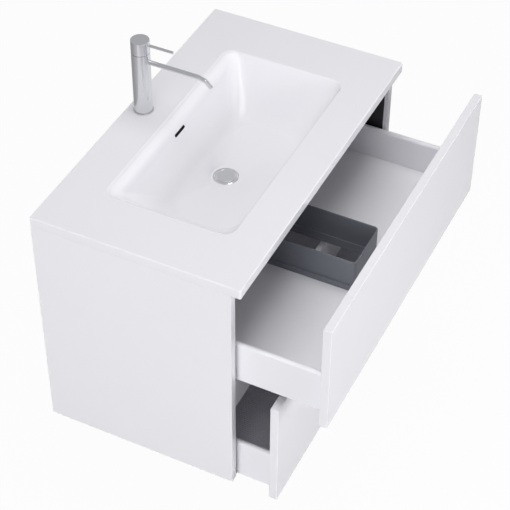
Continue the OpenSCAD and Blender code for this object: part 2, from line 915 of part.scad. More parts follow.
// The surround stands on the floor, and its foot goes down through the floor's cut
module siphon_guard() {
    low = upper_z + floor_top;
    foot = guard_t + guard_step;
    color("slategray") difference() {
        union() {
            guard_shell(0, low, guard_h, upper_y1);
            guard_shell(guard_t, low - floor_t, floor_t + cut, upper_y1);
        }
        guard_shell(foot, low - floor_t - cut, guard_step_h + floor_t + 2 * cut, upper_y1 + cut);
        guard_shell(guard_t, low + guard_step_h, guard_h, upper_y1 + cut);
    }
}

module guard_collar() {
    low = upper_z + floor_top;
    color("slategray") difference() {
        guard_shell(-collar_t, low, collar_h, upper_y1);
        guard_shell(0, low - cut, collar_h + 2 * cut, upper_y1 + cut);
    }
}

// Each bracket is a plate on the front's back face and a tongue inside the drawer side
module bracket_pair(z, open) {
    y = closed_y - open;
    s0 = side_gap + side_sheet;
    s1 = side_out - side_sheet;
    mid = z + (bracket_low + bracket_top) / 2;
    color("gray") difference() {
        for (side = [LEFT, RIGHT]) {
            at_side(side) block(s0, s1, y, y + bracket_t, z + bracket_low, z + bracket_top);
            at_side(side) block(s0, s1, y, y + tongue_l, mid - tongue_h / 2, mid + tongue_h / 2);
        }
        bracket_screw_set(z, open);
    }
}

module upper_brackets() {
    bracket_pair(upper_z, upper_open);
}

module lower_brackets() {
    bracket_pair(lower_z, lower_open);
}

module upper_screws() {
    color("dimgray") bracket_screw_set(upper_z, upper_open);
}

module lower_screws() {
    color("dimgray") bracket_screw_set(lower_z, lower_open);
}

module lower_mat() {
    low = lower_z + floor_top;
    color("dimgray") block(-floor_half, floor_half, lower_y0, lower_y1 - back_t, low, low + mat_t);
}

// ---- Tap ----

tap_top_z = top_z + tap_h;
cap_z = tap_top_z - cap_h;
column_top_z = cap_z - cap_seam;
column_z = top_z + tap_ring_h;
spout_z = tap_top_z - spout_drop;
lever_z = tap_top_z - lever_drop;
pin_y = tap_y + pin_back;
pin_z = cap_z + pin_rise;
cartridge_z = column_top_z - retainer_h - cartridge_h;
stem_low_z = cartridge_z + cartridge_h / 3;
stud_z = column_z + stud_in;
spout_tip_y = tap_y - spout_reach - bend_reach - tip_reach;
spout_tip_z = spout_z - bend_fall - tip_fall;

// Angles of the two bends and lengths of the straight runs between them
bend_1 = atan2(bend_fall, bend_reach);
bend_2 = atan2(tip_fall, tip_reach) - bend_1;
run_1 = spout_reach - chamber_r;
run_2 = norm([bend_reach, bend_fall]);
run_3 = norm([tip_reach, tip_fall]);

// The spout's bar, run on at both ends by over, with a round knuckle at each bend
module spout_bar(r, over) {
    translate([0, tap_y - chamber_r, spout_z]) rotate([90, 0, 0]) {
        translate([0, 0, -over]) cylinder(h = run_1 + over, r = r);
        translate([0, 0, run_1]) sphere(r + bend_swell);
        translate([0, 0, run_1]) rotate([bend_1, 0, 0]) {
            cylinder(h = run_2, r = r);
            translate([0, 0, run_2]) sphere(r + bend_swell);
            translate([0, 0, run_2]) rotate([bend_2, 0, 0]) cylinder(h = run_3 + over, r = r);
        }
    }
}

module tap_base_ring() {
    color("silver") difference() {
        rod_z(0, tap_y, top_z, column_z, tap_ring_r);
        rod_z(0, tap_y, top_z - cut, column_z + cut, spigot_r);
    }
}

module tap_inlets(z1) {
    for (x = [-inlet_x, inlet_x])
        rod_z(x, tap_y - inlet_y, column_z - spigot_h - cut, z1, inlet_r);
}

module tap_body() {
    color("silver") difference() {
        union() {
            rod_z(0, tap_y, column_z, column_top_z, tap_r);
            rod_z(0, tap_y, column_z - spigot_h, column_z + cut, spigot_r);
        }
        rod_z(0, tap_y, spout_z - 2 * spout_r, column_top_z + cut, chamber_r);
        rod_y(0, tap_y - 2 * tap_r, tap_y, spout_z, spout_r);
        tap_inlets(column_z - spigot_h + inlet_l);
        rod_z(0, tap_y + stud_y, column_z - spigot_h - cut, stud_z, stud_r);
    }
}

module tap_spout() {
    color("silver") difference() {
        spout_bar(spout_r, 0);
        spout_bar(spout_r - spout_wall, cut);
    }
}

aerator_l = 8;
aerator_wall = 1;

module tap_aerator() {
    r = spout_r - spout_wall;
    color("gray") translate([0, spout_tip_y, spout_tip_z])
        rotate([atan2(-tip_reach, tip_fall), 0, 0]) difference() {
            cylinder(h = aerator_l, r = r);
            translate([0, 0, -cut]) cylinder(h = aerator_l + 2 * cut, r = r - aerator_wall);
        }
}

module tap_cartridge() {
    color("gray") difference() {
        rod_z(0, tap_y, cartridge_z, cartridge_z + cartridge_h, chamber_r);
        rod_z(0, tap_y, stem_low_z, column_top_z, stem_r + run_gap);
    }
}

module tap_retainer() {
    color("goldenrod") difference() {
        rod_z(0, tap_y, column_top_z - retainer_h, column_top_z, chamber_r);
        rod_z(0, tap_y, cartridge_z, column_top_z + cut, stem_r + run_gap);
    }
}

// The stem turns in the cartridge, and its arm carries the pin that the cap tilts on
module tap_stem() {
    color("gray") difference() {
        union() {
            rod_z(0, tap_y, stem_low_z + run_gap, cap_z, stem_r);
            rod_z(0, tap_y, cap_z, cap_z + stem_head_h, stem_head_r);
            rod_x(-knuckle_half, knuckle_half, pin_y, pin_z, knuckle_r);
            block(-knuckle_half, knuckle_half, tap_y, pin_y, pin_z - knuckle_r, pin_z + knuckle_r);
        }
        rod_x(-pin_half, pin_half, pin_y, pin_z, pin_r);
    }
}

module tap_pin() {
    color("silver") rod_x(-pin_half, pin_half, pin_y, pin_z, pin_r);
}

module tap_cap() {
    slot = knuckle_half + run_gap;
    color("silver") difference() {
        rod_z(0, tap_y, cap_z, tap_top_z, tap_r);
        rod_z(0, tap_y, cap_z - cut, tap_top_z - cap_top, tap_r - cap_wall);
        block(-slot, slot, tap_y, tap_y + tap_r + cut, cap_z - cut, pin_z + 2 * knuckle_r);
        rod_x(-pin_half - run_gap, pin_half + run_gap, pin_y, pin_z, pin_r + run_gap / 4);
        rod_y(0, tap_y - tap_r - cut, tap_y - tap_r + cap_wall + cut, lever_z, lever_r);
    }
}

module tap_lever() {
    color("silver")
        rod_y(0, tap_y - lever_reach, tap_y - tap_r + cap_wall, lever_z, lever_r);
}

module tap_stud() {
    color("silver") rod_z(0, tap_y + stud_y, stud_z - stud_l, stud_z, stud_r);
}

module tap_clamp() {
    color("silver") difference() {
        rod_z(0, tap_y, under_z - clamp_t, under_z, clamp_r);
        block(-inlet_x - inlet_r, inlet_x + inlet_r, tap_y - clamp_r - cut,
            tap_y - inlet_y + inlet_r, under_z - clamp_t - cut, under_z + cut);
        rod_z(0, tap_y + stud_y, under_z - clamp_t - cut, under_z + cut, stud_r);
    }
}

module tap_nut() {
    color("silver") translate([0, tap_y + stud_y, under_z - clamp_t - nut_h]) difference() {
        cylinder(h = nut_h, r = nut_w / 2 / cos(30), $fn = 6);
        translate([0, 0, -cut]) cylinder(h = nut_h + 2 * cut, r = stud_r);
    }
}

// ---- Waste ----

flange_z = bowl_z + flange_rise - flange_t;
flange_top_z = flange_z + flange_t;
dish_z = flange_top_z - dish_depth;
tube_low_z = bowl_z - tube_l;
guide_z = bowl_z - guide_drop;
boss_low_z = bowl_z - waste_boss_h;
bore_r = tube_r - tube_wall;

module waste_body() {
    window = overflow_duct / 2;
    window_z = bowl_z - bowl_wall - window;
    color("silver") difference() {
        union() {
            difference() {
                union() {
                    rod_z(0, waste_y, flange_z, flange_top_z, flange_r);
                    rod_z(0, waste_y, tube_low_z, flange_top_z, tube_r);
                    rod_z(0, waste_y, tube_low_z - tail_l, tube_low_z + cut, tail_r);
                }
                rod_z(0, waste_y, tube_low_z + tube_wall, flange_top_z + cut, bore_r);
                rod_z(0, waste_y, dish_z, flange_top_z + cut, plug_r + plug_gap);
                rod_z(0, waste_y, tube_low_z - tail_l - cut, flange_top_z, tail_r - tail_wall);
                rod_y(0, waste_y - tube_r - cut, waste_y + tube_r + cut, window_z, window);
            }
            rod_z(0, waste_y, guide_z - guide_h, guide_z, guide_r);
            block(-bore_r - tube_wall / 2, bore_r + tube_wall / 2, waste_y - guide_bar / 2,
                waste_y + guide_bar / 2, guide_z - guide_h, guide_z);
        }
        rod_z(0, waste_y, guide_z - guide_h - cut, guide_z + cut, plug_stem_r + plug_play);
    }
}

module waste_gaskets() {
    color("black") difference() {
        union() {
            rod_z(0, waste_y, flange_z - seal_top_t, flange_z, flange_r);
            rod_z(0, waste_y, boss_low_z - seal_low_t, boss_low_z, seal_r);
        }
        rod_z(0, waste_y, tube_low_z, flange_z + cut, tube_r);
    }
}

module waste_nut() {
    top = boss_low_z - seal_low_t;
    color("gray") difference() {
        rod_z(0, waste_y, top - back_nut_h, top, back_nut_r);
        rod_z(0, waste_y, tube_low_z, top + cut, tube_r);
    }
}

// The plug sits in the flange's dish, and its stem slides in the guide
module waste_plug() {
    low = dish_z + run_gap;
    color("silver") {
        rod_z(0, waste_y, low, low + plug_t, plug_r);
        rod_z(0, waste_y, guide_z - guide_h - plug_tail, low + cut, plug_stem_r);
    }
}

basin();
side_panel_left();
side_panel_right();
top_front_rail();
mid_rail();
back_rail_top();
back_rail_bottom();
wall_rail();
hangers();
hanger_screws();
panel_dowels();
runner_upper_left();
runner_upper_right();
runner_lower_left();
runner_lower_right();
runner_screws();
slide_upper_left();
slide_upper_right();
slide_lower_left();
slide_lower_right();
member_upper_left();
member_upper_right();
member_lower_left();
member_lower_right();
upper_front();
upper_side_left();
upper_side_right();
upper_floor();
upper_back_left();
upper_back_right();
upper_brackets();
upper_screws();
siphon_guard();
guard_collar();
lower_front();
lower_side_left();
lower_side_right();
lower_floor();
lower_back();
lower_brackets();
lower_screws();
lower_mat();
tap_base_ring();
tap_body();
tap_spout();
tap_aerator();
tap_cartridge();
tap_retainer();
tap_stem();
tap_pin();
tap_cap();
tap_lever();
tap_stud();
tap_clamp();
tap_nut();
waste_body();
waste_gaskets();
waste_nut();
waste_plug();
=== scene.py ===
# %% [markdown]
# # A wall-hung vanity in Blender
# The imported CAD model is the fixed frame: it says where every piece is and how the drawers,
# the tap and the plug move. Here each of its pieces gets its finished shape and its finish.
# Objects are in metres, with the wall at Y = 0, the front towards -Y and Z up.

# %% Load the frame
import math

import bmesh
import bpy
from mathutils import Matrix, Vector


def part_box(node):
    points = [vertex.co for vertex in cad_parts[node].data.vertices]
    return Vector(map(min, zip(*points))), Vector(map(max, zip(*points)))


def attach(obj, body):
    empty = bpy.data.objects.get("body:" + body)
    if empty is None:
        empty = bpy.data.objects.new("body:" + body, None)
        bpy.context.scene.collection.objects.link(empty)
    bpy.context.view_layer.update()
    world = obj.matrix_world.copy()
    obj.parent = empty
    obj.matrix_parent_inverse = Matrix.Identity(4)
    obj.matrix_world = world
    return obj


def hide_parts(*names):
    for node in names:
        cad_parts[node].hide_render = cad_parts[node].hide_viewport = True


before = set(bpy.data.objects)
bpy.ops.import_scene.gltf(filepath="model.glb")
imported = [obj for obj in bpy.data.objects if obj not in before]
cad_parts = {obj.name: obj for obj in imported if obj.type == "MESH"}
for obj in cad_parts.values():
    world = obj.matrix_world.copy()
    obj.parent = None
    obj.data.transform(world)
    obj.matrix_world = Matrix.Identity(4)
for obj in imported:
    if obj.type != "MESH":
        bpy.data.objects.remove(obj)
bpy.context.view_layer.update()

scene = bpy.context.scene

# %% [markdown]
# ## Camera
# The camera stands to the left, in front and well above, as in the photograph. Its turn is
# written as the directions that it sees as right and ahead, and up follows from them.

# %% Camera
right = Vector((0.44090357, -0.89754258, 0.00462143))
ahead = Vector((0.65411686, 0.3177903, -0.68639672))
lens = bpy.data.cameras.new("camera")
lens.lens = 112.78
lens.sensor_width = 36
lens.clip_end = 60
camera = bpy.data.objects.new("camera", lens)
turn = Matrix((right, right.cross(ahead), -ahead)).transposed().to_4x4()
camera.matrix_world = Matrix.Translation((-2.30302, -1.41882, 2.17632)) @ turn
scene.collection.objects.link(camera)
scene.camera = camera
scene.view_settings.view_transform = "Standard"
print("camera at", tuple(round(c, 2) for c in camera.location))

# %% [markdown]
# ## Helpers for outlines
# Nearly every part here is an outline: a board's, a bent sheet's or a turned part's. Sizes are
# written in millimetres, as on a workshop drawing, and each mesh is brought to metres when it
# is made. Corners are rounded first, because a real edge always catches a line of light.

# %% Round the corners of an outline
MM = 0.001


def rounded(points, closed=True, steps=5):
    """Points are (a, b) or (a, b, radius). Returns (a, b) pairs with arcs at the corners."""
    out = []
    last = len(points) - 1
    for i, point in enumerate(points):
        here = Vector(point[:2])
        radius = point[2] if len(point) > 2 else 0
        if not radius or (not closed and i in (0, last)):
            out.append(tuple(here))
            continue
        back = (Vector(points[i - 1][:2]) - here).normalized()
        on = (Vector(points[(i + 1) % len(points)][:2]) - here).normalized()
        half = back.angle(on) / 2
        centre = here + (back + on).normalized() * (radius / math.sin(half))
        first = here + back * (radius / math.tan(half)) - centre
        end = here + on * (radius / math.tan(half)) - centre
        start = math.atan2(first.y, first.x)
        swing = (math.atan2(end.y, end.x) - start + math.pi) % (2 * math.pi) - math.pi
        for k in range(steps + 1):
            angle = start + swing * k / steps
            out.append((centre.x + radius * math.cos(angle), centre.y + radius * math.sin(angle)))
    return out


def span(node):
    """Lowest and highest corner of a CAD node, in millimetres."""
    low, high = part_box(node)
    return low / MM, high / MM


print("an outline's corner:", len(rounded([(0, 0, 2), (10, 0), (10, 10)])), "points")

# %% [markdown]
# ## Helpers for meshes
# A mesh starts as points in bmesh. A board or a bent sheet is an outline with a thickness, a
# turned part is an outline that goes round an axis, and a bowl is a stack of rings.

# %% From points to an object
def into_object(bm, name, material, unit=MM):
    """Merges doubles, points the faces outwards and links the object."""
    bmesh.ops.remove_doubles(bm, verts=bm.verts, dist=2e-6 / unit)
    bmesh.ops.dissolve_degenerate(bm, edges=bm.edges, dist=1e-6 / unit)
    bmesh.ops.recalc_face_normals(bm, faces=bm.faces)
    bmesh.ops.scale(bm, vec=(unit, unit, unit), verts=bm.verts)
    mesh = bpy.data.meshes.new(name)
    bm.to_mesh(mesh)
    bm.free()
    mesh.materials.append(material)
    obj = bpy.data.objects.new(name, mesh)
    scene.collection.objects.link(obj)
    return obj


def sharp_edges(bm, angle=35):
    return [e for e in bm.edges
            if len(e.link_faces) == 2 and e.calc_face_angle(0) > math.radians(angle)]


# %% Skin rings of points
def loft(name, rings, material, wrap=False):
    """Joins rings with as many points each. The ends are capped unless the last one wraps."""
    bm = bmesh.new()
    loops = [[bm.verts.new(p) for p in ring] for ring in rings]
    pairs = list(zip(loops, loops[1:]))
    if wrap:
        pairs.append((loops[-1], loops[0]))
    else:
        bm.faces.new(loops[0])
        bm.faces.new(loops[-1])
    for one, other in pairs:
        for i in range(len(one)):
            j = (i + 1) % len(one)
            bm.faces.new((one[i], one[j], other[j], other[i]))
    return into_object(bm, name, material)


# %% Turn an outline round an axis
def turned(name, profile, origin, material, axis=(0, 0, 1), steps=96):
    """Profile is closed, in (radius, distance along the axis from origin)."""
    axis = Vector(axis).normalized()
    side = axis.orthogonal().normalized()
    other = axis.cross(side)
    rings = []
    for k in range(steps):
        angle = 2 * math.pi * k / steps
        out = side * math.cos(angle) + other * math.sin(angle)
        rings.append([Vector(origin) + axis * d + out * r for r, d in profile])
    return loft(name, rings, material, wrap=True)


def round_piece(name, inner, outer, low, high, origin, material, arc=0, **settings):
    """A washer or, with no inner radius, a rod. The arc rounds its outer edges."""
    outline = rounded([(inner, low), (outer, low, arc), (outer, high, arc), (inner, high)])
    return turned(name, outline, origin, material, **settings)


# %% Give an outline a thickness
def prism(name, outline, axis, low, high, material, bevel=0, segments=2):
    """The outline lies square to the axis X, Y or Z. A bevel softens its sharp edges."""
    bm = bmesh.new()
    ends = []
    for d in (low, high):
        points = [list(p[:2]) for p in outline]
        for point in points:
            point.insert("XYZ".index(axis), d)
        ends.append([bm.verts.new(p) for p in points])
    for end in ends:
        bm.faces.new(end)
    for i in range(len(outline)):
        j = (i + 1) % len(outline)
        bm.faces.new((ends[0][i], ends[0][j], ends[1][j], ends[1][i]))
    bmesh.ops.recalc_face_normals(bm, faces=bm.faces)
    if bevel:
        bmesh.ops.bevel(bm, geom=sharp_edges(bm), offset=bevel, segments=segments,
                        profile=0.5, affect="EDGES", clamp_overlap=True)
    return into_object(bm, name, material)


def board(name, low, high, material, bevel=0.5, segments=3):
    """A board between two corners."""
    outline = [(low[0], low[1]), (high[0], low[1]), (high[0], high[1]), (low[0], high[1])]
    return prism(name, outline, "Z", low[2], high[2], material, bevel, segments)


# %% Run a section along a flat path
def along_path(section, path, side, mitred=True):
    """Rings of a section in (side, out). Side is the direction square to the path's plane."""
    side = Vector(side)
    places = [Vector(p) for p in path]
    rings = []
    for i, place in enumerate(places):
        come = (place - places[i - 1]).normalized() if i else None
        go = (places[i + 1] - place).normalized() if i + 1 < len(places) else None
        along = ((come or go) + (go or come)).normalized()
        out = along.cross(side)
        stretch = 1 / along.dot(go or come) if mitred else 1
        rings.append([place + side * a + out * (b * stretch) for a, b in section])
    return rings


# %% Cut, join and bake
def applied(obj):
    """Bakes the modifiers of an object into its mesh and takes them off."""
    graph = bpy.context.evaluated_depsgraph_get()
    mesh = bpy.data.meshes.new_from_object(obj.evaluated_get(graph))
    obj.modifiers.clear()
    obj.data = mesh
    mesh.name = obj.name


def combine(obj, others, operation="DIFFERENCE"):
    """Cuts the others out of an object, or joins them to it, and deletes them."""
    for other in others:
        tool = obj.modifiers.new("combine", "BOOLEAN")
        tool.operation = operation
        tool.solver = "EXACT"
        tool.material_mode = "TRANSFER"
        tool.object = other
        applied(obj)
        bpy.data.objects.remove(other)
    return obj


def merged(name, parts):
    """Makes one object of several that stay separate shells."""
    bm = bmesh.new()
    for part in parts:
        bm.from_mesh(part.data)
    material = parts[0].data.materials[0]
    for part in parts:
        bpy.data.objects.remove(part)
    return into_object(bm, name, material, unit=1)


# %% Hand a finished piece to the frame
def hand_over(obj, body, node, sharp=35):
    """Shades the piece, lets it ride on a body and lets it stand for its CAD node."""
    bm = bmesh.new()
    bm.from_mesh(obj.data)
    for face in bm.faces:
        face.smooth = True
    for edge in bm.edges:
        edge.smooth = True
    for edge in sharp_edges(bm, sharp):
        edge.smooth = False
    bm.to_mesh(obj.data)
    bm.free()
    even = obj.modifiers.new("even shading", "WEIGHTED_NORMAL")
    even.keep_sharp = True
    applied(obj)
    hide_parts(node)
    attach(obj, body)
    print(f"{obj.name}: {len(obj.data.polygons)} faces on {body}")


def board_for(node, material, body, bevel=0.5):
    """Makes and hands over the board that fills a CAD node's box."""
    hand_over(board(node + "_board", *span(node), material, bevel), body, node)


# %% [markdown]
# ## Shared shader effects
# Real surfaces are never one flat colour. Three small node groups hold the effects that the
# finishes share: a drift of colour and gloss, a fine grain for the bump, and lighter edges, partly
# rubbed wear and partly a painted highlight.
# A group is built once, and each material places it with its own values.

# %% Small helpers for nodes
COLOUR, NUMBER, VECTOR = "NodeSocketColor", "NodeSocketFloat", "NodeSocketVector"


def new_group(name, inputs, outputs):
    """A shader group with named sockets. Inputs are (name, type, default)."""
    tree = bpy.data.node_groups.new(name, "ShaderNodeTree")
    for title, kind, value in inputs:
        socket = tree.interface.new_socket(title, in_out="INPUT", socket_type=kind)
        socket.default_value = value
    for title, kind in outputs:
        tree.interface.new_socket(title, in_out="OUTPUT", socket_type=kind)
    print("group", name)
    source, end = (tree.nodes.new("NodeGroup" + way) for way in ("Input", "Output"))
    return tree, source.outputs, end.inputs


def add(tree, kind, inputs=(), **settings):
    """Adds a node. Each input is (socket, a value, another node or one of its outputs)."""
    node = tree.nodes.new(kind)
    for key, value in settings.items():
        setattr(node, key, value)
    for socket, value in inputs:
        if isinstance(value, bpy.types.Node):
            value = value.outputs[0]
        if isinstance(value, bpy.types.NodeSocket):
            tree.links.new(value, node.inputs[socket])
        else:
            node.inputs[socket].default_value = value
    return node


def maths(tree, operation, *values, **settings):
    return add(tree, "ShaderNodeMath", enumerate(values), operation=operation, **settings)


def mix(tree, share, first, second):
    """The first colour, going over to the second as the share goes from 0 to 1."""
    return add(tree, "ShaderNodeMix", [(0, share), (6, first), (7, second)],
               data_type="RGBA").outputs[2]


def srgb(r, g, b):
    """A colour as it is read on a screen, 0 to 255, in the linear values that shaders use."""
    part = [c / 255 for c in (r, g, b)]
    return tuple(c / 12.92 if c < 0.04045 else ((c + 0.055) / 1.055) ** 2.4 for c in part) + (1,)


# %% Drift of colour and gloss
drift, given, result = new_group(
    "drift_of_colour",
    [("Vector", VECTOR, (0, 0, 0)), ("Colour", COLOUR, (0.8, 0.8, 0.8, 1)),
     ("Second Colour", COLOUR, (0.7, 0.7, 0.7, 1)), ("Scale", NUMBER, 6),
     ("Roughness", NUMBER, 0.3), ("Spread", NUMBER, 0.05)],
    [("Colour", COLOUR), ("Roughness", NUMBER)])
wide = add(drift, "ShaderNodeTexNoise", [("Vector", given["Vector"]), ("Scale", given["Scale"]),
                                         ("Detail", 4.0)])
drift.links.new(mix(drift, wide, given["Colour"], given["Second Colour"]),
                result["Colour"])
gloss = maths(drift, "MULTIPLY_ADD", wide, given["Spread"], given["Roughness"])
drift.links.new(gloss.outputs[0], result["Roughness"])

# %% Fine grain for the bump
grain, given, result = new_group(
    "fine_grain", [("Vector", VECTOR, (0, 0, 0)), ("Scale", NUMBER, 400)], [("Height", NUMBER)])
fine = add(grain, "ShaderNodeTexNoise", [("Vector", given["Vector"]), ("Scale", given["Scale"]),
                                         ("Detail", 3.0)])
grain.links.new(fine.outputs[0], result["Height"])

# %% Rubbed edges and painted edge highlight
# The Bevel node gives the normal of a rounded edge. Where that leaves the face's own normal, there
# is an edge. The mask that this gives lightens the edges, partly as rubbed wear and partly as a
# painted highlight.
wear_and_highlight, given, result = new_group(
    "edge_wear_and_highlight", [("Width", NUMBER, 0.001), ("Strength", NUMBER, 4)], [("Mask", NUMBER)])
edge = add(wear_and_highlight, "ShaderNodeBevel", [("Radius", given["Width"])], samples=4)
face = add(wear_and_highlight, "ShaderNodeNewGeometry")
same = add(wear_and_highlight, "ShaderNodeVectorMath", [(0, edge), (1, face.outputs["Normal"])],
           operation="DOT_PRODUCT")
away = maths(wear_and_highlight, "SUBTRACT", 1.0, same.outputs["Value"])
mask = maths(wear_and_highlight, "MULTIPLY", away, given["Strength"], use_clamp=True)
wear_and_highlight.links.new(mask.outputs[0], result["Mask"])

# %% [markdown]
# ## Finishes
# One function builds them all: the drift feeds colour and roughness, the grain feeds the bump, and
# a finish with an edge colour gets lighter edges at its corners, partly rubbed wear and partly a
# painted highlight. What is the same all over a surface, such as its coat, is set on the shader
# itself.

# %% Build a finish
def finish(name, colour, second, rough, spread=0.04, metal=0.0, scale=5.0, stretch=(1, 1, 1),
           fine=900.0, height=0.0, edge=None, shader=()):
    """Two screen colours to drift between, gloss, grain and a colour for edges, partly rubbed wear
    and partly a painted highlight.
    """
    material = bpy.data.materials.new(name)
    material.use_nodes = True
    tree = material.node_tree
    surface = tree.nodes["Principled BSDF"]
    surface.inputs["Metallic"].default_value = metal
    for socket, value in shader:
        surface.inputs[socket].default_value = value
    place = add(tree, "ShaderNodeTexCoord")
    fit = add(tree, "ShaderNodeMapping", [("Vector", place.outputs["Object"]),
                                          ("Scale", stretch)])
    clouds = add(tree, "ShaderNodeGroup", node_tree=drift,
                 inputs=[("Vector", fit), ("Colour", srgb(*colour)),
                         ("Second Colour", srgb(*second)), ("Scale", scale),
                         ("Roughness", rough - spread / 2), ("Spread", spread)])
    colour_out = clouds.outputs["Colour"]
    # Lighter edges: partly rubbed wear, partly a painted highlight.
    if edge:
        colour_out = mix(tree, add(tree, "ShaderNodeGroup", node_tree=wear_and_highlight), colour_out,
                         srgb(*edge))
    tree.links.new(colour_out, surface.inputs["Base Color"])
    tree.links.new(clouds.outputs["Roughness"], surface.inputs["Roughness"])
    if height:
        texture = add(tree, "ShaderNodeGroup", [("Vector", fit), ("Scale", fine)],
                      node_tree=grain)
        bump = add(tree, "ShaderNodeBump", [("Height", texture), ("Distance", height * MM),
                                            ("Strength", 1.0)])
        tree.links.new(bump.outputs[0], surface.inputs["Normal"])
    return material


# %% White finishes
# Fired glaze is the smoothest surface here, and the lacquer is almost as glossy. The clay deep in
# the overflow is given a nearly black colour: painted shade for the dark inside of the slot and
# channel.
glaze = finish("glaze", (240, 239, 243), (237, 236, 241), 0.07, 0.02, fine=40, height=0.01,
               shader=[("Coat Weight", 0.5), ("Coat Roughness", 0.02)])
painted_shade_clay = finish("painted_shade_clay", (34, 34, 36), (24, 24, 26), 0.7, height=0.05)
lacquer = finish("white_lacquer", (240, 239, 243), (237, 236, 241), 0.12, 0.03, scale=3,
                 fine=260, height=0.006, shader=[("Coat Weight", 0.25)])
laminate = finish("white_laminate", (236, 236, 238), (230, 230, 234), 0.34, fine=1400,
                  height=0.02)
powder = finish("powder_coat", (240, 240, 244), (237, 237, 242), 0.38, fine=1600, height=0.03,
                edge=(244, 244, 247))
print("white finishes ready")

# %% Grey and dark finishes
grey_board = finish("grey_laminate", (188, 189, 194), (178, 179, 185), 0.42,
                    stretch=(0.15, 1, 1), height=0.04)
# Painted shade: a near-black board for the sides' inner faces, where deep shade falls inside the
# carcass.
painted_shade_board = finish("painted_shade_laminate", (46, 47, 51), (38, 39, 43), 0.45, height=0.04)
guard_plastic = finish("moulded_plastic", (122, 125, 134), (114, 117, 126), 0.42, scale=14,
                       fine=1800, height=0.05, edge=(146, 149, 157))
mat_rubber = finish("ribbed_rubber", (196, 196, 205), (188, 188, 197), 0.62, scale=20,
                    fine=1200, height=0.05)
seal_rubber = finish("seal_rubber", (44, 44, 46), (36, 36, 38), 0.6, fine=1500, height=0.05)
inner_plastic = finish("inner_plastic", (150, 151, 155), (140, 141, 146), 0.4, fine=1500,
                       height=0.03)
print("grey finishes ready")

# %% Metals and wood
# The waste's plate and plug are a lighter copy of the tap's chrome: a painted reflection, so that
# they look as bright as the white bowl they mirror.
painted_reflection_chrome = finish("painted_reflection_chrome", (251, 251, 253), (247, 248, 250), 0.1, 0.03, metal=1.0,
                       scale=30, height=0.001)
chrome = finish("chrome", (229, 230, 232), (224, 225, 228), 0.07, 0.03, metal=1.0, scale=9)
zinc = finish("zinc_steel", (186, 188, 192), (160, 163, 169), 0.34, 0.14, metal=1.0, scale=45,
              stretch=(1, 0.25, 1), height=0.02, edge=(206, 207, 210))
brass = finish("brass", (214, 180, 108), (196, 160, 90), 0.28, 0.1, metal=1.0, scale=30,
               height=0.02)
beech = finish("beech", (214, 184, 146), (190, 156, 116), 0.6, stretch=(0.08, 1, 1), scale=260,
               fine=700, height=0.08)
print(len(bpy.data.materials), "materials, with those of the CAD model")

# %% [markdown]
# ## Geometry Nodes for what repeats
# Screws, dowels, threads and ribs repeat by a rule, so node trees make them. A tree's sizes
# are named inputs. The points that it needs come from a mesh that is only points, and each
# holds the direction that its copy faces.

# %% Helpers for node trees
def new_tree(name, sizes):
    """A Geometry Nodes tree with one number input, in millimetres, for each named size."""
    tree = bpy.data.node_groups.new(name, "GeometryNodeTree")
    tree.interface.new_socket("Points", in_out="INPUT", socket_type="NodeSocketGeometry")
    for title in sizes:
        tree.interface.new_socket(title, in_out="INPUT", socket_type=NUMBER)
    tree.interface.new_socket("Geometry", in_out="OUTPUT", socket_type="NodeSocketGeometry")
    print("tree", name)
    return tree, tree.nodes.new("NodeGroupInput").outputs


def times(tree, value, factor=MM):
    """Without a factor, millimetres from a tree's input become metres."""
    return maths(tree, "MULTIPLY", value, factor)


def xyz(tree, **parts):
    return add(tree, "ShaderNodeCombineXYZ", parts.items())


def moved(tree, shape, way):
    return add(tree, "GeometryNodeTransform", [("Geometry", shape), ("Translation", way)])


def solid_curve(tree, line, section):
    return add(tree, "GeometryNodeCurveToMesh",
               [("Curve", line), ("Profile Curve", section), ("Fill Caps", True)])


def close_tree(tree, points, shape, material):
    """Ends a tree: the shape on every point, turned to its direction, as one real mesh."""
    facing = add(tree, "GeometryNodeInputNamedAttribute", [("Name", "facing")],
                 data_type="FLOAT_VECTOR")
    turn_to = add(tree, "FunctionNodeAlignRotationToVector", [("Vector", facing)], axis="Z")
    copies = add(tree, "GeometryNodeInstanceOnPoints",
                 [("Points", points), ("Instance", shape), ("Rotation", turn_to)])
    real = add(tree, "GeometryNodeRealizeInstances", [(0, copies)])
    paint = add(tree, "GeometryNodeSetMaterial", [("Geometry", real), ("Material", material)])
    add(tree, "NodeGroupOutput", [(0, paint)])
    return tree


def grown(name, tree, sizes, places, facing=(0, 0, 1)):
    """Runs a tree on points, given in millimetres, and returns the plain mesh as an object."""
    mesh = bpy.data.meshes.new(name + "_points")
    mesh.from_pydata([Vector(p[:3]) * MM for p in places], [], [])
    ways = mesh.attributes.new("facing", "FLOAT_VECTOR", "POINT")
    for i, p in enumerate(places):
        ways.data[i].vector = p[3] if len(p) > 3 else facing
    obj = bpy.data.objects.new(name, mesh)
    scene.collection.objects.link(obj)
    maker = obj.modifiers.new("maker", "NODES")
    maker.node_group = tree
    for item in tree.interface.items_tree:
        if item.item_type == "SOCKET" and item.in_out == "INPUT" and item.name in sizes:
            maker[item.identifier] = float(sizes[item.name])
    applied(obj)
    return obj


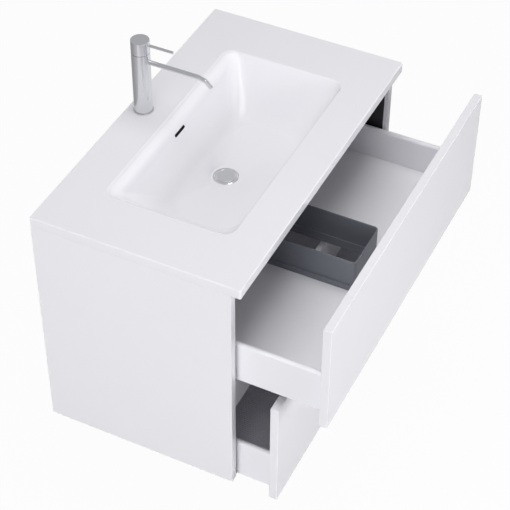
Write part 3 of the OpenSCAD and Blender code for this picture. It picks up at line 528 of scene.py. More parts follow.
# %% A tree for cross-head screws
# The head's recess is cut by two thin bars that cross.
SCREW_SIZES = ["Head Radius", "Head Height", "Shank Radius", "Shank Length"]
tree, given = new_tree("cross_head_screws", SCREW_SIZES)
head_r, head_h, shank_r, shank_l = [times(tree, given[title]) for title in SCREW_SIZES]
head = add(tree, "GeometryNodeMeshCone",
           [("Vertices", 32), ("Radius Top", times(tree, head_r, 0.82)),
            ("Radius Bottom", head_r), ("Depth", head_h)])
shank = add(tree, "GeometryNodeMeshCylinder",
            [("Vertices", 16), ("Radius", shank_r), ("Depth", shank_l)])
lowered = moved(tree, shank, xyz(tree, Z=times(tree, shank_l, -0.5)))
long_side, slim_side = times(tree, head_r, 1.1), times(tree, head_r, 0.22)
bars = []
for x, y in ((long_side, slim_side), (slim_side, long_side)):
    bar = add(tree, "GeometryNodeMeshCube", [("Size", xyz(tree, X=x, Y=y, Z=head_h))])
    bars.append(moved(tree, bar, xyz(tree, Z=head_h)))
cross = add(tree, "GeometryNodeMeshBoolean", [("Mesh 1", head)] + [("Mesh 2", b) for b in bars],
            operation="DIFFERENCE")
whole = add(tree, "GeometryNodeJoinGeometry", [(0, cross), (0, lowered)])
screw_tree = close_tree(tree, given["Points"], whole, zinc)

# %% A tree for fluted dowels
tree, given = new_tree("fluted_dowels", ["Radius", "Length"])
radius = times(tree, given["Radius"])
end = xyz(tree, Z=times(tree, given["Length"]))
line = add(tree, "GeometryNodeCurvePrimitiveLine", [("End", end)])
flutes = add(tree, "GeometryNodeCurveStar",
             [("Points", 14), ("Outer Radius", radius),
              ("Inner Radius", times(tree, radius, 0.93))])
dowel_tree = close_tree(tree, given["Points"], solid_curve(tree, line, flutes), beech)

# %% A tree for screw threads
tree, given = new_tree("screw_thread", ["Radius", "Pitch", "Length", "Depth"])
turns = maths(tree, "DIVIDE", given["Length"], given["Pitch"])
radius = times(tree, given["Radius"])
spiral = add(tree, "GeometryNodeCurveSpiral",
             [("Resolution", 40), ("Rotations", turns), ("Start Radius", radius),
              ("End Radius", radius), ("Height", times(tree, given["Length"]))])
ridge = add(tree, "GeometryNodeCurvePrimitiveCircle",
            [("Resolution", 4), ("Radius", times(tree, given["Depth"]))])
thread_tree = close_tree(tree, given["Points"], solid_curve(tree, spiral, ridge), chrome)

# %% A tree for the mat's ribs
tree, given = new_tree("mat_ribs", ["Length", "Width", "Height"])
start = times(tree, times(tree, given["Length"]), -0.5)
far = times(tree, start, -1.0)
line = add(tree, "GeometryNodeCurvePrimitiveLine", [("Start", xyz(tree, Y=start)),
                                                        ("End", xyz(tree, Y=far))])
section = add(tree, "GeometryNodeCurvePrimitiveCircle", [("Resolution", 10), ("Radius", 0.5)])
flat = xyz(tree, X=times(tree, given["Width"]), Y=times(tree, given["Height"]), Z=1.0)
oval = add(tree, "GeometryNodeTransform", [("Geometry", section), ("Scale", flat)])
rib_tree = close_tree(tree, given["Points"], solid_curve(tree, line, oval), mat_rubber)

# %% [markdown]
# ## Basin
# The top is one cast of ceramic: a flat slab, a bowl that sinks into it, and a thick collar
# round the waste hole. Subdivision could round it, but a stack of measured rings keeps the
# rim crisp and the walls as the mould has them. The rings run up the slab's edge, over the
# top, down the bowl, through the waste hole and back under the shell, so it is closed.

# %% Rings of the basin
CORNER, LONG, SHORT = 18, 28, 12    # steps round a corner and along the sides
WASTE = Vector((0, -230))
WASTE_AXIS = (*WASTE, 0)
SLAB_HALF, SLAB_FRONT, SLAB_LOW, SLAB_TOP, SLAB_R = 400, -465, 50, 73, 4


def ring(half, back, front, corner, z):
    """A rounded rectangle seen from above."""
    arcs = []
    for q in range(4):
        x = (half - corner) * (1 if q in (0, 3) else -1)
        y = back - corner if q < 2 else front + corner
        angles = [math.radians(90 * (q + k / CORNER)) for k in range(CORNER + 1)]
        arcs.append([Vector((x + corner * math.cos(a), y + corner * math.sin(a), z))
                     for a in angles])
    out = []
    for arc, following, steps in zip(arcs, arcs[1:] + arcs[:1], (LONG, SHORT, LONG, SHORT)):
        out += arc + [arc[-1].lerp(following[0], k / steps) for k in range(1, steps)]
    return out


def round_ring(like, radius, z):
    """A circle round the waste hole whose points lie in the directions of another ring's."""
    return [(WASTE + (p.to_2d() - WASTE).normalized() * radius).to_3d() + Vector((0, 0, z))
            for p in like]


# %% Rows of the bowl
# Each row gives the depth of a ring, then how far the side, front and back walls have come
# in by then, all as shares.
BOWL_SHARES = [
    (0.015, 0.012, 0.020, 0.060), (0.05, 0.035, 0.045, 0.13), (0.12, 0.085, 0.09, 0.2),
    (0.2, 0.15, 0.14, 0.25), (0.29, 0.225, 0.2, 0.29), (0.42, 0.335, 0.3, 0.37),
    (0.55, 0.45, 0.4, 0.46), (0.68, 0.57, 0.51, 0.57), (0.8, 0.69, 0.63, 0.69),
    (0.9, 0.81, 0.76, 0.81), (0.96, 0.91, 0.88, 0.91), (1, 1, 1, 1)]
MOUTH_HALF, MOUTH_BACK, MOUTH_FRONT, MOUTH_R = 274, -95, -380, 25
WALL_DEPTH, FLOOR_FALL, SHELL = 97, 15, 9


def bowl_row(depth, side, front, back, grow=0):
    return (MOUTH_HALF - 99 * side + grow, MOUTH_BACK - 90 * back + grow,
            MOUTH_FRONT + 45 * front - grow, MOUTH_R + 35 * depth + grow,
            SLAB_TOP - WALL_DEPTH * depth - grow)


def smooth_rows(rows, steps):
    """A curve through the rows: cubic pieces, with speeds that follow the distances."""
    rows = [Vector(r) for r in rows]
    gaps = [max((b - a).length, 1e-6) for a, b in zip(rows, rows[1:])]
    slopes = [(rows[1] - rows[0]) / gaps[0]]
    for i in range(1, len(rows) - 1):
        before = (rows[i] - rows[i - 1]) / gaps[i - 1]
        after = (rows[i + 1] - rows[i]) / gaps[i]
        slopes.append((before * gaps[i] + after * gaps[i - 1]) / (gaps[i - 1] + gaps[i]))
    slopes.append((rows[-1] - rows[-2]) / gaps[-1])
    out = [rows[0]]
    for a, b, m, n, gap in zip(rows, rows[1:], slopes, slopes[1:], gaps):
        for k in range(1, steps + 1):
            t = k / steps
            out.append(a * (1 + 2 * t) * (1 - t) ** 2 + b * t * t * (3 - 2 * t)
                       + (m * t * (1 - t) ** 2 - n * t * t * (1 - t)) * gap)
    return out


# %% Stack the rings
def floor_rings(last, radius, grow):
    """From the foot of the walls to the seat of the waste."""
    centre = round_ring(last, radius, 0)
    steps = 12
    out = []
    for k in range(1, steps + 1):
        t = k / steps
        fall = t * (0.70 + 0.30 * t)
        z = SLAB_TOP - WALL_DEPTH - grow - FLOOR_FALL * fall
        out.append([Vector((*p.to_2d().lerp(c.to_2d(), t), z)) for p, c in zip(last, centre)])
    return out


lip = [(MOUTH_HALF + r, MOUTH_BACK + r, MOUTH_FRONT - r, MOUTH_R + r, SLAB_TOP - z)
       for r, z in ((2.2, 0), (1.1, 0.14), (0.35, 0.5))]
inside = [ring(*row) for row in smooth_rows(lip + [bowl_row(*s) for s in BOWL_SHARES], 5)]
inside += floor_rings(inside[-1], 32, 0)
outside = [ring(*row) for row in smooth_rows(
    [bowl_row(*s, grow=SHELL) for s in BOWL_SHARES[2:]], 3)]
outside = [r for r in outside if r[0].z < SLAB_LOW - 4]
outside += floor_rings(outside[-1], 41, SHELL)
COLLAR_HIGH = 38
seat_z = inside[-1][0].z
collar_z = seat_z - COLLAR_HIGH
edge_rows = [ring(SLAB_HALF - inset, -inset, SLAB_FRONT + inset, SLAB_R - inset, z)
             for inset, z in ((1.5, 50), (0.8, 50.2), (0.2, 50.8), (0, 51.5), (0, 70.8),
                              (0.17, 71.7), (0.64, 72.4), (1.3, 72.85), (2.2, 73))]
hole = [round_ring(inside[-1], r, z) for r, z in (
    (28.3, seat_z), (27.7, seat_z - 0.2), (27.5, seat_z - 0.8), (27.5, seat_z - 3.5),
    (23, seat_z - 3.5), (23, collar_z + 1),
    (24, collar_z), (35, collar_z), (36.6, collar_z + 0.6), (37, collar_z + 2),
    (37, seat_z - SHELL - 3), (38.2, seat_z - SHELL - 0.8))]
top_out = outside[0]
skirt = [[Vector((p.x * (1 + s / 290), p.y, z)) for p in top_out]
         for s, z in ((3, SLAB_LOW - 1.2), (7, SLAB_LOW))]
basin_rings = edge_rows + inside + hole + outside[::-1] + skirt
basin = loft("basin_top", basin_rings, glaze, wrap=True)
print("basin rings:", len(basin_rings))

# %% Overflow channel, slot and tap hole
# The channel behind the bowl's back wall leads from the slot to the waste. The duct round it stops
# inside the thick collar, so it leaves the waste hole free. Inside the channel the ceramic gets
# painted shade, a nearly black colour, so its cutter and the slot's have a finish of their own.
def wall_line(out, top, low):
    """Points that follow the bowl's back wall at a distance."""
    rows = [bowl_row(*s) for s in BOWL_SHARES]
    return [(row[1] + out, row[4]) for row in rows if low <= row[4] <= top]


near = [(-99, 51)] + wall_line(4, 50, -20) + [(-183, -30), (-198, -44), (-230, -44)]
far_side = [(-230, -67), (-157, -67)] + wall_line(28, 50, -24)[::-1] + [(-78, 51)]
duct = prism("duct", near + far_side, "X", -30, 30, glaze)
SLOT_Y, SLOT_HALF = -121, 21
bend = [(-178.2, -29.9), (-191.2, -44.9), (-194, -48), (-230, -48), (-230, -58), (-166, -58)]
channel_outline = ([(SLOT_Y + 9, 48.2)] + wall_line(9, 45, -24) + bend
                   + wall_line(19, 45, -24)[::-1] + [(SLOT_Y + 19, 48.2)])
channel = prism("channel", channel_outline, "X", -SLOT_HALF, SLOT_HALF, painted_shade_clay)
stadium = rounded([(-SLOT_HALF, 41.75, 3.2), (SLOT_HALF, 41.75, 3.2), (SLOT_HALF, 48.25, 3.2),
                   (-SLOT_HALF, 48.25, 3.2)], steps=8)
slot = prism("slot", stadium, "Y", SLOT_Y - 9, SLOT_Y + 14, painted_shade_clay)
TAP_Y = -35
AXIS = (0, TAP_Y, 0)
tap_hole = turned("tap_hole", [(0, 49), (17.5, 49), (17.5, 71.6), (17.8, 72.4), (18.6, 73),
                               (18.6, 74), (0, 74)], AXIS, glaze, steps=64)
around_waste = round_piece("around_waste", 0, 30, -80, -30, WASTE_AXIS, glaze)
combine(basin, [combine(duct, [around_waste])], "UNION")
combine(basin, [channel, slot, tap_hole])
hand_over(basin, "cabinet", "basin", sharp=40)

# %% [markdown]
# ## Cabinet
# The carcass is board: two sides, two front rails and two back rails, held with dowels. Each board
# is an outline with a thickness and a fine bevel for its edge band. The sides are white; their
# inner faces, beyond a white band behind the front edge, are painted near-black as painted shade
# for the dark deep inside the carcass.

# %% Side panels
BAND = 9
for node, inwards in (("side_panel_left", 1), ("side_panel_right", -1)):
    low, high = span(node)
    panel = board(node + "_board", low, high, lacquer, bevel=0.7)
    # Painted shade: behind the white band at the front edge, the inner face gets the near-black
    # board.
    panel.data.materials.append(painted_shade_board)
    dark = len(panel.data.materials) - 1
    bm = bmesh.new()
    bm.from_mesh(panel.data)
    band_y = (low.y + BAND) * MM
    bmesh.ops.bisect_plane(bm, geom=bm.verts[:] + bm.edges[:] + bm.faces[:],
                           plane_co=(0, band_y, 0), plane_no=(0, 1, 0))
    for face in bm.faces:
        if face.normal.x * inwards > 0.9 and face.calc_center_median().y > band_y:
            face.material_index = dark
    bm.to_mesh(panel.data)
    bm.free()
    hand_over(panel, "cabinet", node)

# %% Rails
board_for("top_front_rail", laminate, "cabinet")
board_for("mid_rail", laminate, "cabinet")
board_for("back_rail_bottom", grey_board, "cabinet")
low, high = span("back_rail_top")
NOTCH_HALF, NOTCH_DEEP = 45, 58
notched = rounded([(low.x, low.z), (high.x, low.z), (high.x, high.z), (NOTCH_HALF, high.z, 1),
                   (NOTCH_HALF, high.z - NOTCH_DEEP, 5), (-NOTCH_HALF, high.z - NOTCH_DEEP, 5),
                   (-NOTCH_HALF, high.z, 1), (low.x, high.z)])
hand_over(prism("back_rail_top_board", notched, "Y", low.y, high.y, grey_board, 0.5, 3),
          "cabinet", "back_rail_top")

# %% Dowels
IN_X = 381.5    # the sides' inner faces
DOWEL_IN, DOWEL_R, DOWEL_L, DOWEL_EDGE = 12, 4, 30, 13
rail_low, rail_high = span("top_front_rail")
spots = [(y, (rail_low.z + rail_high.z) / 2)
         for y in (rail_low.y + DOWEL_EDGE, rail_high.y - DOWEL_EDGE)]
for node in ("mid_rail", "back_rail_top", "back_rail_bottom"):
    low, high = span(node)
    spots += [((low.y + high.y) / 2, z) for z in (high.z - DOWEL_EDGE, low.z + DOWEL_EDGE)]
places = [(x, y, z) for y, z in spots for x in (-IN_X - DOWEL_IN, IN_X + DOWEL_IN - DOWEL_L)]
dowels = grown("fluted_dowels", dowel_tree, {"Radius": DOWEL_R, "Length": DOWEL_L}, places,
               facing=(1, 0, 0))
hand_over(dowels, "cabinet", "panel_dowels")

# %% [markdown]
# ## Wall rail and hangers
# The cabinet hangs on a bent steel rail that is bolted to the wall. Each hanger is a bent hook
# screwed to the upper back rail. Sheet metal bends in a small arc, so the outlines have arcs
# at every fold.

# %% Wall rail
low, high = span("wall_rail")
SHEET = 2.5
rail_outline = rounded([(0, low.z, 0.6), (0, 20, 2.8), (-6.5, 20, 0.4), (-6.5, high.z, 0.6),
                        (-9, high.z, 0.6), (-9, 17.5, 2.9), (-SHEET, 17.5, 0.4),
                        (-SHEET, low.z, 0.6)])
wall_rail = prism("wall_rail_sheet", rail_outline, "X", low.x, high.x, zinc, 0.3)
bolt_holes = [round_piece("bolt_hole", 0, 4.25, -5, 2, (x, 0, 0), zinc, axis=(0, 1, 0),
                          steps=40) for x in (-250, 250)]
combine(wall_rail, bolt_holes)
hand_over(wall_rail, "cabinet", "wall_rail")

# %% Hangers and their screws
HOOK_X, HOOK_HALF = 320, 30
hook_outline = rounded([(-12, -27.5, 1), (-9.3, -27.5, 1), (-9.3, 32, 0.4), (-6.2, 32, 0.4),
                        (-6.2, 20.3, 0.6), (-3.7, 20.3, 0.6), (-3.7, 34.5, 2.4),
                        (-12, 34.5, 2.6)])
hooks = [prism("hook", hook_outline, "X", x - HOOK_HALF, x + HOOK_HALF, zinc, 0.4)
         for x in (-HOOK_X, HOOK_X)]
hand_over(merged("hanger_hooks", hooks), "cabinet", "hangers")
HEAD_R, HEAD_H = 3.5, 1.8
SCREW = dict(zip(SCREW_SIZES, (HEAD_R, HEAD_H, 2, 13)))


def screws(node, places, body, facing=(0, 1, 0)):
    """Hands over cross-head screws for a CAD node, with their heads at the places."""
    name = node.replace("screws", "cross_screws")
    hand_over(grown(name, screw_tree, SCREW, places, facing), body, node)


low, high = span("hanger_screws")
screws("hanger_screws",
       [(side * HOOK_X + x, high.y - HEAD_H, z) for side in (-1, 1)
        for z in (low.z + HEAD_R, high.z - HEAD_R) for x in (-15, 15)], "cabinet")

# %% [markdown]
# ## Runners
# A full-extension runner has three members: a rail on the cabinet, a middle slide and a
# channel on the drawer, nested like cupped hands. Each is a rolled steel section run along Y.
# Sections are written in s, the distance in from the side panel.

# %% Sections of the runners
def at_side(node, section):
    """A section in (s, height) at the panel that the node is next to, in X and Z."""
    left = span(node)[0].x < 0
    return [((s - IN_X) if left else (IN_X - s), z, *r) for s, z, *r in section]


def rolled(node, section, body):
    """Hands over a section that runs along Y through its CAD node's box."""
    low, high = span(node)
    outline = rounded(at_side(node, section), steps=4)
    hand_over(prism(node + "_sheet", outline, "Y", low.y, high.y, zinc, 0.25), body,
              node)


def rail_section(low):
    z, top = low, low + 11.3
    return [(0, z, 2), (15, z, 1.2), (15, top - 1.5, 0.4), (21, top - 1.5, 0.4), (21, z),
            (22.5, z), (22.5, top, 1.6), (13.5, top, 1.6), (13.5, z + 1.5, 0.4),
            (1.5, z + 1.5, 0.5), (1.5, z + 43), (0, z + 43)]


def channel_section(s0, s1, low, top, t):
    return [(s0, low), (s0 + t, low), (s0 + t, top - t, 0.3), (s1 - t, top - t, 0.3),
            (s1 - t, low), (s1, low), (s1, top, t + 0.3), (s0, top, t + 0.3)]


# %% Runner rails, slides and members
for level in ("upper", "lower"):
    for side in ("left", "right"):
        node = f"runner_{level}_{side}"
        rolled(node, rail_section(span(node)[0].z), "cabinet")
        for kind, s0, s1, t, body in (("slide", 12, 24, 1.2, level + "_slides"),
                                      ("member", 10, 26, 1.7, level + "_drawer")):
            node = f"{kind}_{level}_{side}"
            low, high = span(node)
            rolled(node, channel_section(s0, s1, low.z, high.z, t), body)

# %% Runner screws
low, high = span("runner_screws")
ALONG = (0.08, 0.45, 0.92)
runner_low, runner_high = span("runner_upper_left")
places = []
for z in (low.z + HEAD_R, high.z - HEAD_R):
    for x, way in ((-IN_X + 1.5, (1, 0, 0)), (IN_X - 1.5, (-1, 0, 0))):
        places += [(x, runner_low.y + (runner_high.y - runner_low.y) * s, z, way)
                   for s in ALONG]
screws("runner_screws", places, "cabinet")

# %% [markdown]
# ## Drawers
# A drawer is a front, two steel sides with a rounded top, a floor and a back. The sides are
# one bent sheet that is hollow between its walls, so the outline goes up one wall, over the
# top and down the other to a ledge for the floor, and the hollow is cut along it.

# %% Drawer sides
SIDE_MID, SIDE_R, SIDE_SHEET = 12.5, 6.5, 1.2
OUTER_WALL, INNER_WALL = SIDE_MID - SIDE_R, SIDE_MID + SIDE_R


def drawer_side(node, body):
    low, high = span(node)
    bottom, shoulder = low.z, high.z - SIDE_R
    ledge = bottom + 14.2

    def over(radius):
        """The rounded top, from one wall to the other."""
        return [(SIDE_MID - radius * math.cos(a), shoulder + radius * math.sin(a))
                for a in (math.pi * k / 20 for k in range(21))]

    outer = [(OUTER_WALL, bottom), *over(SIDE_R), (INNER_WALL, ledge), (31, ledge),
             (31, ledge - SIDE_SHEET), (OUTER_WALL + SIDE_SHEET, ledge - SIDE_SHEET),
             (OUTER_WALL + SIDE_SHEET, bottom)]
    hollow = [(OUTER_WALL + SIDE_SHEET, ledge), *over(SIDE_R - SIDE_SHEET),
              (INNER_WALL - SIDE_SHEET, ledge)]
    side = prism(node + "_sheet", at_side(node, outer), "Y", low.y, high.y, powder, 0.25)
    cutter = prism("hollow", at_side(node, hollow), "Y", low.y - 5, high.y + 5, powder)
    combine(side, [cutter])
    hand_over(side, body, node)


for level in ("upper", "lower"):
    for side in ("left", "right"):
        drawer_side(f"{level}_side_{side}", level + "_drawer")

# %% Fronts, floors and backs
for level in ("upper", "lower"):
    board_for(level + "_front", lacquer, level + "_drawer", bevel=1.0)
for node in ("lower_floor", "lower_back", "upper_back_left", "upper_back_right"):
    board_for(node, laminate, node[:5] + "_drawer")

# %% Floor of the upper drawer
low, high = span("upper_floor")
guard_low, guard_high = span("siphon_guard")
HALF, WALL, CUT_HALF = 62.5, 2.5, 60
cut_front = guard_low.y + WALL
floor_outline = rounded([(low.x, low.y), (high.x, low.y), (high.x, high.y),
                         (CUT_HALF, high.y), (CUT_HALF, cut_front, 7.5),
                         (-CUT_HALF, cut_front, 7.5), (-CUT_HALF, high.y), (low.x, high.y)])
hand_over(prism("upper_floor_board", floor_outline, "Z", low.z, high.z, laminate, 0.4),
          "upper_drawer", "upper_floor")

# %% [markdown]
# ## Surround for the siphon
# The trap under the basin needs room, so a moulded surround leads round it through the upper
# drawer. It is open at the back. One section with a soft rim, a ledge inside and a lip that
# goes down through the floor is run along a U.

# %% Surround and its collar
LEDGE, LIP_OUT = 13, 4
floor_top, foot, rim = high.z, guard_low.z, guard_high.z
u_path = [(x, y, 0) for x, y in rounded(
    [(-HALF, guard_high.y), (-HALF, guard_low.y, 10), (HALF, guard_low.y, 10),
     (HALF, guard_high.y)], closed=False, steps=12)]
guard_section = rounded([(floor_top, 0), (rim, 0, 1.1), (rim, -WALL, 1.1),
                         (floor_top + LEDGE, -WALL, 0.3), (floor_top + LEDGE, -LIP_OUT, 0.5),
                         (foot, -LIP_OUT, 0.4), (foot, -2.55), (floor_top, -2.55)], steps=6)
collar_section = rounded([(floor_top, 0.05), (floor_top + 14, 0.05, 0.4),
                          (floor_top + 14, 3, 1), (floor_top, 3)])
for name, section, node in (("surround", guard_section, "siphon_guard"),
                            ("surround_collar", collar_section, "guard_collar")):
    hand_over(loft(name, along_path(section, u_path, (0, 0, 1)), guard_plastic),
              "upper_drawer", node)

# %% Brackets and their screws
for level in ("upper", "lower"):
    node = level + "_brackets"
    low, high = span(node)
    middle, half = (low.z + high.z) / 2, (high.z - low.z) / 6
    parts = []
    for side in (-1, 1):
        x0, x1 = (side * (IN_X - SIDE_MID) + x for x in (-5.25, 5.25))
        parts.append(board("plate", (x0, low.y, low.z), (x1, low.y + 2, high.z), zinc, 0.3, 2))
        parts.append(board("tongue", (x0, low.y + 1.5, middle - half),
                           (x1, high.y, middle + half), zinc, 0.6, 2))
    body = level + "_drawer"
    hand_over(merged(node + "_steel", parts), body, node)
    low, high = span(level + "_screws")
    screws(level + "_screws",
           [(side * (IN_X - SIDE_MID), high.y - HEAD_H, z) for side in (-1, 1)
            for z in (low.z + HEAD_R, high.z - HEAD_R)], body)

# %% [markdown]
# ## Mat in the lower drawer
# The mat is a thin sheet whose ribs keep things from sliding. The sheet is a board with a
# fine bevel, and the ribs come from their tree.

# %% Ribbed mat
low, high = span("lower_mat")
PITCH, RIB_RISE = 5.0, 0.5
sheet = board("mat_sheet", low, (high.x, high.y, high.z - RIB_RISE), mat_rubber, 0.3, 2)
count = int((high.x - low.x) // PITCH)
first = (low.x + high.x) / 2 - PITCH * (count - 1) / 2
places = [(first + PITCH * i, (low.y + high.y) / 2, high.z - RIB_RISE) for i in range(count)]
ribs = grown("mat_ribs", rib_tree, places=places,
             sizes={"Length": high.y - low.y - 2, "Width": 2.4, "Height": 2 * RIB_RISE})
hand_over(merged("ribbed_mat", [sheet, ribs]), "lower_drawer", "lower_mat")

# %% [markdown]
# ## Tap
# The mixer is turned brass with a chrome plate: a base ring, a column, a cap that lifts and
# turns, a thin lever rod and a thin tube for a spout. Turned parts are outlines that go round
# an axis, each with the small chamfers that a lathe leaves. They give the bright lines at
# the seams.

# %% Ring and column
ring_low, ring_high = span("tap_base_ring")
ring_outline = rounded([(15, ring_low.z), (22.5, ring_low.z, 0.3), (22.5, ring_high.z, 0.7),
                        (15, ring_high.z)], steps=4)
hand_over(turned("tap_ring", ring_outline, AXIS, chrome, steps=128), "cabinet",
          "tap_base_ring")
body_low, body_high = span("tap_body")
SPOUT_Z, SPOUT_R, FORWARD = 203, 5, (0, -1, 0)
column_outline = rounded([(0, body_low.z), (15, body_low.z, 0.5), (15, 76), (20, 76, 0.5),
                          (20, body_high.z, 0.45), (14, body_high.z, 0.3),
                          (14, SPOUT_Z - 10), (0, SPOUT_Z - 10)], steps=4)
column = turned("tap_column", column_outline, AXIS, chrome, steps=128)
cutters = [round_piece("spout_hole", 0, SPOUT_R, 0, 30, (0, TAP_Y, SPOUT_Z), chrome,
                       axis=FORWARD, steps=48)]
for x, y, radius, depth in ((-7, -4, 5, 14), (7, -4, 5, 14), (0, 9, 3, 26)):
    cutters.append(round_piece("inlet", 0, radius, body_low.z - 2, body_low.z + depth,
                               (x, TAP_Y + y, 0), brass, steps=40))
combine(column, cutters)
hand_over(column, "cabinet", "tap_body")

# %% Cap and lever
cap_low, cap_high = span("tap_cap")
lever_low, lever_high = span("tap_lever")
lever_z = (lever_low.z + lever_high.z) / 2
cap_outline = rounded([(20, cap_low.z, 0.45), (20, cap_high.z, 0.9), (0, cap_high.z),
                       (0, cap_high.z - 3.6), (17, cap_high.z - 3.6, 1), (17, cap_low.z, 0.3)],
                      steps=4)
cap = turned("tap_top", cap_outline, AXIS, chrome, steps=128)
pin_z = cap_low.z + 2
cutters = [board("knuckle_slot", (-3.3, TAP_Y, cap_low.z - 1), (3.3, TAP_Y + 21, pin_z + 3.6),
                 chrome, 0),
           round_piece("pin_hole", 0, 1.08, -5.8, 5.8, (0, TAP_Y + 18, pin_z), chrome,
                       axis=(1, 0, 0), steps=24),
           round_piece("lever_hole", 0, 3.05, 16, 22, (0, TAP_Y, lever_z), chrome,
                       axis=FORWARD, steps=40)]
combine(cap, cutters)
hand_over(cap, "tap_handle", "tap_cap")
lever_outline = rounded([(0, -lever_high.y), (3, -lever_high.y), (3, -lever_low.y, 0.8),
                         (0, -lever_low.y)], steps=5)
lever = turned("tap_rod", lever_outline, (0, 0, lever_z), chrome, FORWARD, 48)
hand_over(lever, "tap_handle", "tap_lever")

# %% Spout
# The tube is bent twice near its end. Its rings run out along the path and back inside it, so
# the tube is open and has a real wall.
BORE, MOUTH_R = 3.5, 0.35
spout_path = [(0, y, z) for y, z in rounded(
    [(TAP_Y - 14, SPOUT_Z), (-169, SPOUT_Z, 11), (-186, 198, 9), (-198.6, 185)],
    closed=False, steps=10)]


def tube_rings(radius, count=40):
    angles = [2 * math.pi * k / count for k in range(count)]
    circle = [(radius * math.cos(a), radius * math.sin(a)) for a in angles]
    return along_path(circle, spout_path, (1, 0, 0), mitred=False)


tip = Vector(spout_path[-1])
tip_way = (tip - Vector(spout_path[-2])).normalized()
outer, inner = tube_rings(SPOUT_R), tube_rings(BORE)
mouth = [[p - tip_way * MOUTH_R for p in outer[-1]],
         [tip + (p - tip) * (1 - MOUTH_R / SPOUT_R) for p in outer[-1]]]
spout = loft("tap_tube", outer[:-1] + mouth + inner[::-1], chrome, wrap=True)
hand_over(spout, "cabinet", "tap_spout")
aerator_outline = rounded([(2.5, -8), (BORE, -8), (BORE, -0.3, 0.3), (2.5, -0.3, 0.3)], steps=3)
aerator = turned("tap_aerator_sleeve", aerator_outline, tip, inner_plastic, tip_way, 40)
hand_over(aerator, "cabinet", "tap_aerator")

# %% [markdown]
# ## Inside and under the tap
# The cartridge, its nut, the stem and the pin sit under the cap, and a stud with a plate and a
# nut clamps the tap to the ceramic. Their CAD shapes are right, so each is a copy whose loose
# triangles are merged. The nut's long edges get a bevel, because a spanner rounds them.

# %% Dress a CAD shape
def dressed(node, material, bevel=0):
    """A merged copy of a CAD node. A bevel goes on its long sharp edges only."""
    bm = bmesh.new()
    bm.from_mesh(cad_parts[node].data)
    bmesh.ops.remove_doubles(bm, verts=bm.verts, dist=1e-6)
    bmesh.ops.dissolve_limit(bm, angle_limit=math.radians(1), verts=bm.verts, edges=bm.edges)
    if bevel:
        long_edges = [e for e in sharp_edges(bm, 50) if e.calc_length() > 4 * MM]
        bmesh.ops.bevel(bm, geom=long_edges, offset=bevel * MM, segments=2, profile=0.5,
                        affect="EDGES", clamp_overlap=True)
    return into_object(bm, node + "_part", material, unit=1)


for node, material, body, slot, bevel in (
        ("tap_cartridge", inner_plastic, "cabinet", "inner_plastic", 0),
        ("tap_retainer", brass, "cabinet", "brass", 0), ("tap_stem", brass, "tap_head", "brass", 0),
        ("tap_pin", zinc, "tap_head", "steel", 0), ("tap_clamp", zinc, "cabinet", "steel", 0),
        ("tap_nut", brass, "cabinet", "brass", 0.4)):
    hand_over(dressed(node, material, bevel), body, node)

# %% Threaded stud
low, high = span("tap_stud")
stud_y = (low.y + high.y) / 2
STUD_R = 2.6
core = round_piece("core", 0, STUD_R, low.z, high.z, (0, stud_y, 0), zinc, 0.5, steps=32)
thread = grown("thread", thread_tree, {"Radius": STUD_R, "Pitch": 1, "Length": 59,
                                       "Depth": 0.4}, [(0, stud_y, low.z + 1.5)])
hand_over(merged("tap_threaded_stud", [core, thread]), "cabinet", "tap_stud", sharp=60)

# %% [markdown]
# ## Waste
# The waste is a flanged tube that a nut pulls down on the ceramic, with a rubber ring above
# and below. The plug's stem slides in a small hub. Only the flange and the plug show in the
# bowl, and the thread and the nut show from below.

# %% Waste tube
waste_low, waste_high = span("waste_body")
flange_low, flange_top = waste_high.z - 2.5, waste_high.z
TUBE_LOW, TUBE_R = -101, 20.4
HUB_LOW, HUB_HIGH = -79, -71
tube_outline = rounded([(26.5, flange_low, 0.2), (26.5, flange_top - 1.2, 0.8),
                        (24.2, flange_top, 2.2), (22, flange_top, 1.2),
                        (20.8, flange_top - 0.7, 0.5), (20.8, flange_top - 1.75),
                        (18.5, flange_top - 1.75, 0.4), (18.5, -98.5),
                        (14.5, -98.5), (14.5, waste_low.z, 0.4), (16, waste_low.z, 0.4),
                        (16, TUBE_LOW), (TUBE_R, TUBE_LOW, 0.6), (TUBE_R, flange_low)],
                       steps=4)
tube = turned("waste_tube", tube_outline, WASTE_AXIS, painted_reflection_chrome, steps=128)
hub = round_piece("hub", 2.5, 5, HUB_LOW, HUB_HIGH, WASTE_AXIS, chrome, 0.5, steps=48)
bars = [board("bar", (x0, WASTE.y - 1.5, HUB_LOW), (x1, WASTE.y + 1.5, HUB_HIGH), chrome, 0.4, 2)
        for x0, x1 in ((-19, -4), (4, 19))]
thread = grown("thread", thread_tree, {"Radius": TUBE_R - 0.05, "Pitch": 2, "Length": 50,
                                       "Depth": 0.6}, [(*WASTE, TUBE_LOW + 1)])
window = round_piece("window", 0, 5, -22, 22, (*WASTE, -53), chrome, axis=(0, 1, 0), steps=40)
combine(tube, [window])
hand_over(merged("waste_fitting", [tube, hub, *bars, thread]), "cabinet",
          "waste_body", sharp=50)

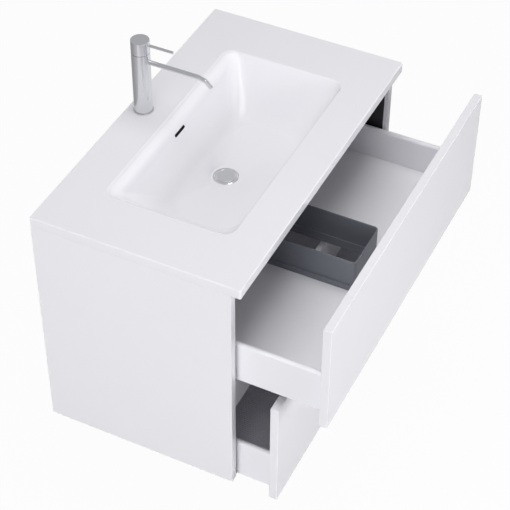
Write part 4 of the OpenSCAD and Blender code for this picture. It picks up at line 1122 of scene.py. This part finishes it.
# %% Gaskets and nut
INNER = 20.95    # just clear of the tube
low, high = span("waste_gaskets")
seals = [round_piece("seal", INNER, 26.5, high.z - 1.5, high.z, WASTE_AXIS, seal_rubber, 0.6),
         round_piece("seal", INNER, 28, low.z, low.z + 3, WASTE_AXIS, seal_rubber, 0.6)]
hand_over(merged("waste_seals", seals), "cabinet", "waste_gaskets")
low, high = span("waste_nut")
nut_parts = [round_piece("nut_ring", INNER, 26, low.z, high.z, WASTE_AXIS, brass, 0.8)]
for k in range(8):
    way = Matrix.Rotation(2 * math.pi * k / 8, 4, "Z")
    outline = [(way @ Vector(p + (0,))).to_2d() + WASTE
               for p in ((25, -4), (28.4, -3), (28.4, 3), (25, 4))]
    nut_parts.append(prism("lug", outline, "Z", low.z, high.z, brass, 0.5))
hand_over(merged("waste_back_nut", nut_parts), "cabinet", "waste_nut")

# %% Plug
low, high = span("waste_plug")
PLUG_R, PIN_R = 20.5, 2.4
plug_outline = rounded([(0, high.z), (PLUG_R, high.z - 0.05, 0.9), (PLUG_R, high.z - 2.5, 0.4),
                        (PIN_R, high.z - 2.5, 0.8), (PIN_R, low.z, 0.4), (0, low.z)],
                       closed=False)
plug = turned("waste_lid", plug_outline, WASTE_AXIS, painted_reflection_chrome, steps=128)
hand_over(plug, "plug", "waste_plug")

# %% [markdown]
# ## Floor, light and background
# The camera sees white all round, through the floor too, so the vanity stands on plain white.
# Its light comes from soft lamps to the left, in front and above. Glaze and chrome mirror a
# plain grey room instead of the lamps. The room is brighter low down and towards the front,
# and two narrow panels overhead give the bright streaks in the bowl.

# %% Floor
FLOOR_Z, WHITENESS, WHITE = -0.777, 0.96, (1, 1, 1, 1)
floor_mesh = bmesh.new()
bmesh.ops.create_grid(floor_mesh, x_segments=1, y_segments=1, size=9)
bmesh.ops.translate(floor_mesh, verts=floor_mesh.verts, vec=(0, 0, FLOOR_Z))
floor_paint = bpy.data.materials.new("pale_floor")
floor_paint.use_nodes = True
tree = floor_paint.node_tree
matt = tree.nodes["Principled BSDF"]
matt.inputs["Base Color"].default_value = (0.6, 0.6, 0.61, 1)
matt.inputs["Roughness"].default_value = 0.8
path = add(tree, "ShaderNodeLightPath")
white = add(tree, "ShaderNodeEmission", [("Color", WHITE), ("Strength", 1.0)])
seen = maths(tree, "MULTIPLY", path.outputs["Is Camera Ray"], WHITENESS)
both = add(tree, "ShaderNodeMixShader", [(0, seen), (1, matt), (2, white)])
tree.links.new(both.outputs[0], tree.nodes["Material Output"].inputs["Surface"])
floor = into_object(floor_mesh, "floor", floor_paint, unit=1)

# %% World
ROOM_BRIGHT, ROOM_DIM = (0.9, 0.9, 0.9, 1), (0.48, 0.48, 0.49, 1)
EVEN_LIGHT = (0.15, 0.15, 0.152, 1)
world = bpy.data.worlds.new("studio")
scene.world = world
world.use_nodes = True
tree = world.node_tree
path = add(tree, "ShaderNodeLightPath").outputs
direction = add(tree, "ShaderNodeTexCoord")
sides = add(tree, "ShaderNodeSeparateXYZ", [(0, direction.outputs["Generated"])]).outputs


def fading(value, start, end):
    """1 up to the start, going down to 0 at the end."""
    return add(tree, "ShaderNodeMapRange", [(0, value), (1, start), (2, end), (3, 1), (4, 0)])


bright = maths(tree, "MULTIPLY", fading(sides["Z"], 0.25, 0.6), fading(sides["Y"], 0, 0.4))
mirrored_room = mix(tree, bright, ROOM_DIM, ROOM_BRIGHT)
unseen = mix(tree, path["Is Glossy Ray"], EVEN_LIGHT, mirrored_room)
seen = maths(tree, "MAXIMUM", path["Is Camera Ray"], path["Is Transmission Ray"])
tree.links.new(mix(tree, seen, unseen, WHITE), tree.nodes["Background"].inputs["Color"])


# %% Lamps
def softbox(name, place, aim, width, height, power, mirrored=False):
    """A lamp at a place, in metres, turned to its aim. Only a mirrored one shows in glaze."""
    lamp = bpy.data.lights.new(name, "AREA")
    lamp.shape = "RECTANGLE"
    lamp.size, lamp.size_y, lamp.energy = width, height, power
    obj = bpy.data.objects.new(name, lamp)
    way = (Vector(aim) - Vector(place)).to_track_quat("-Z", "Y")
    obj.matrix_world = Matrix.Translation(place) @ way.to_matrix().to_4x4()
    obj.visible_glossy = mirrored
    scene.collection.objects.link(obj)


softbox("key_softbox", (-2.58, -1.04, 3.34), (-0.1, -0.4, -0.3), 1.4, 1.4, 23)
softbox("left_softbox", (-3.3, -0.1, 0.27), (0, -0.35, -0.15), 1.8, 1.6, 48)
softbox("front_softbox", (-0.3, -3.3, 0.38), (0, -0.35, -0.1), 1.8, 1.6, 56)
softbox("top_softbox", (0.15, -0.2, 3.0), (0.05, -0.25, 0), 2.0, 2.0, 48)
softbox("ceiling_panel", (-0.3, -0.93, 2.4), (-0.3, -0.93, 0), 2.3, 0.45, 6, mirrored=True)
softbox("slim_panel", (0.4, -1.8, 2.4), (0.4, -1.8, 0), 1.8, 0.5, 2.5, mirrored=True)
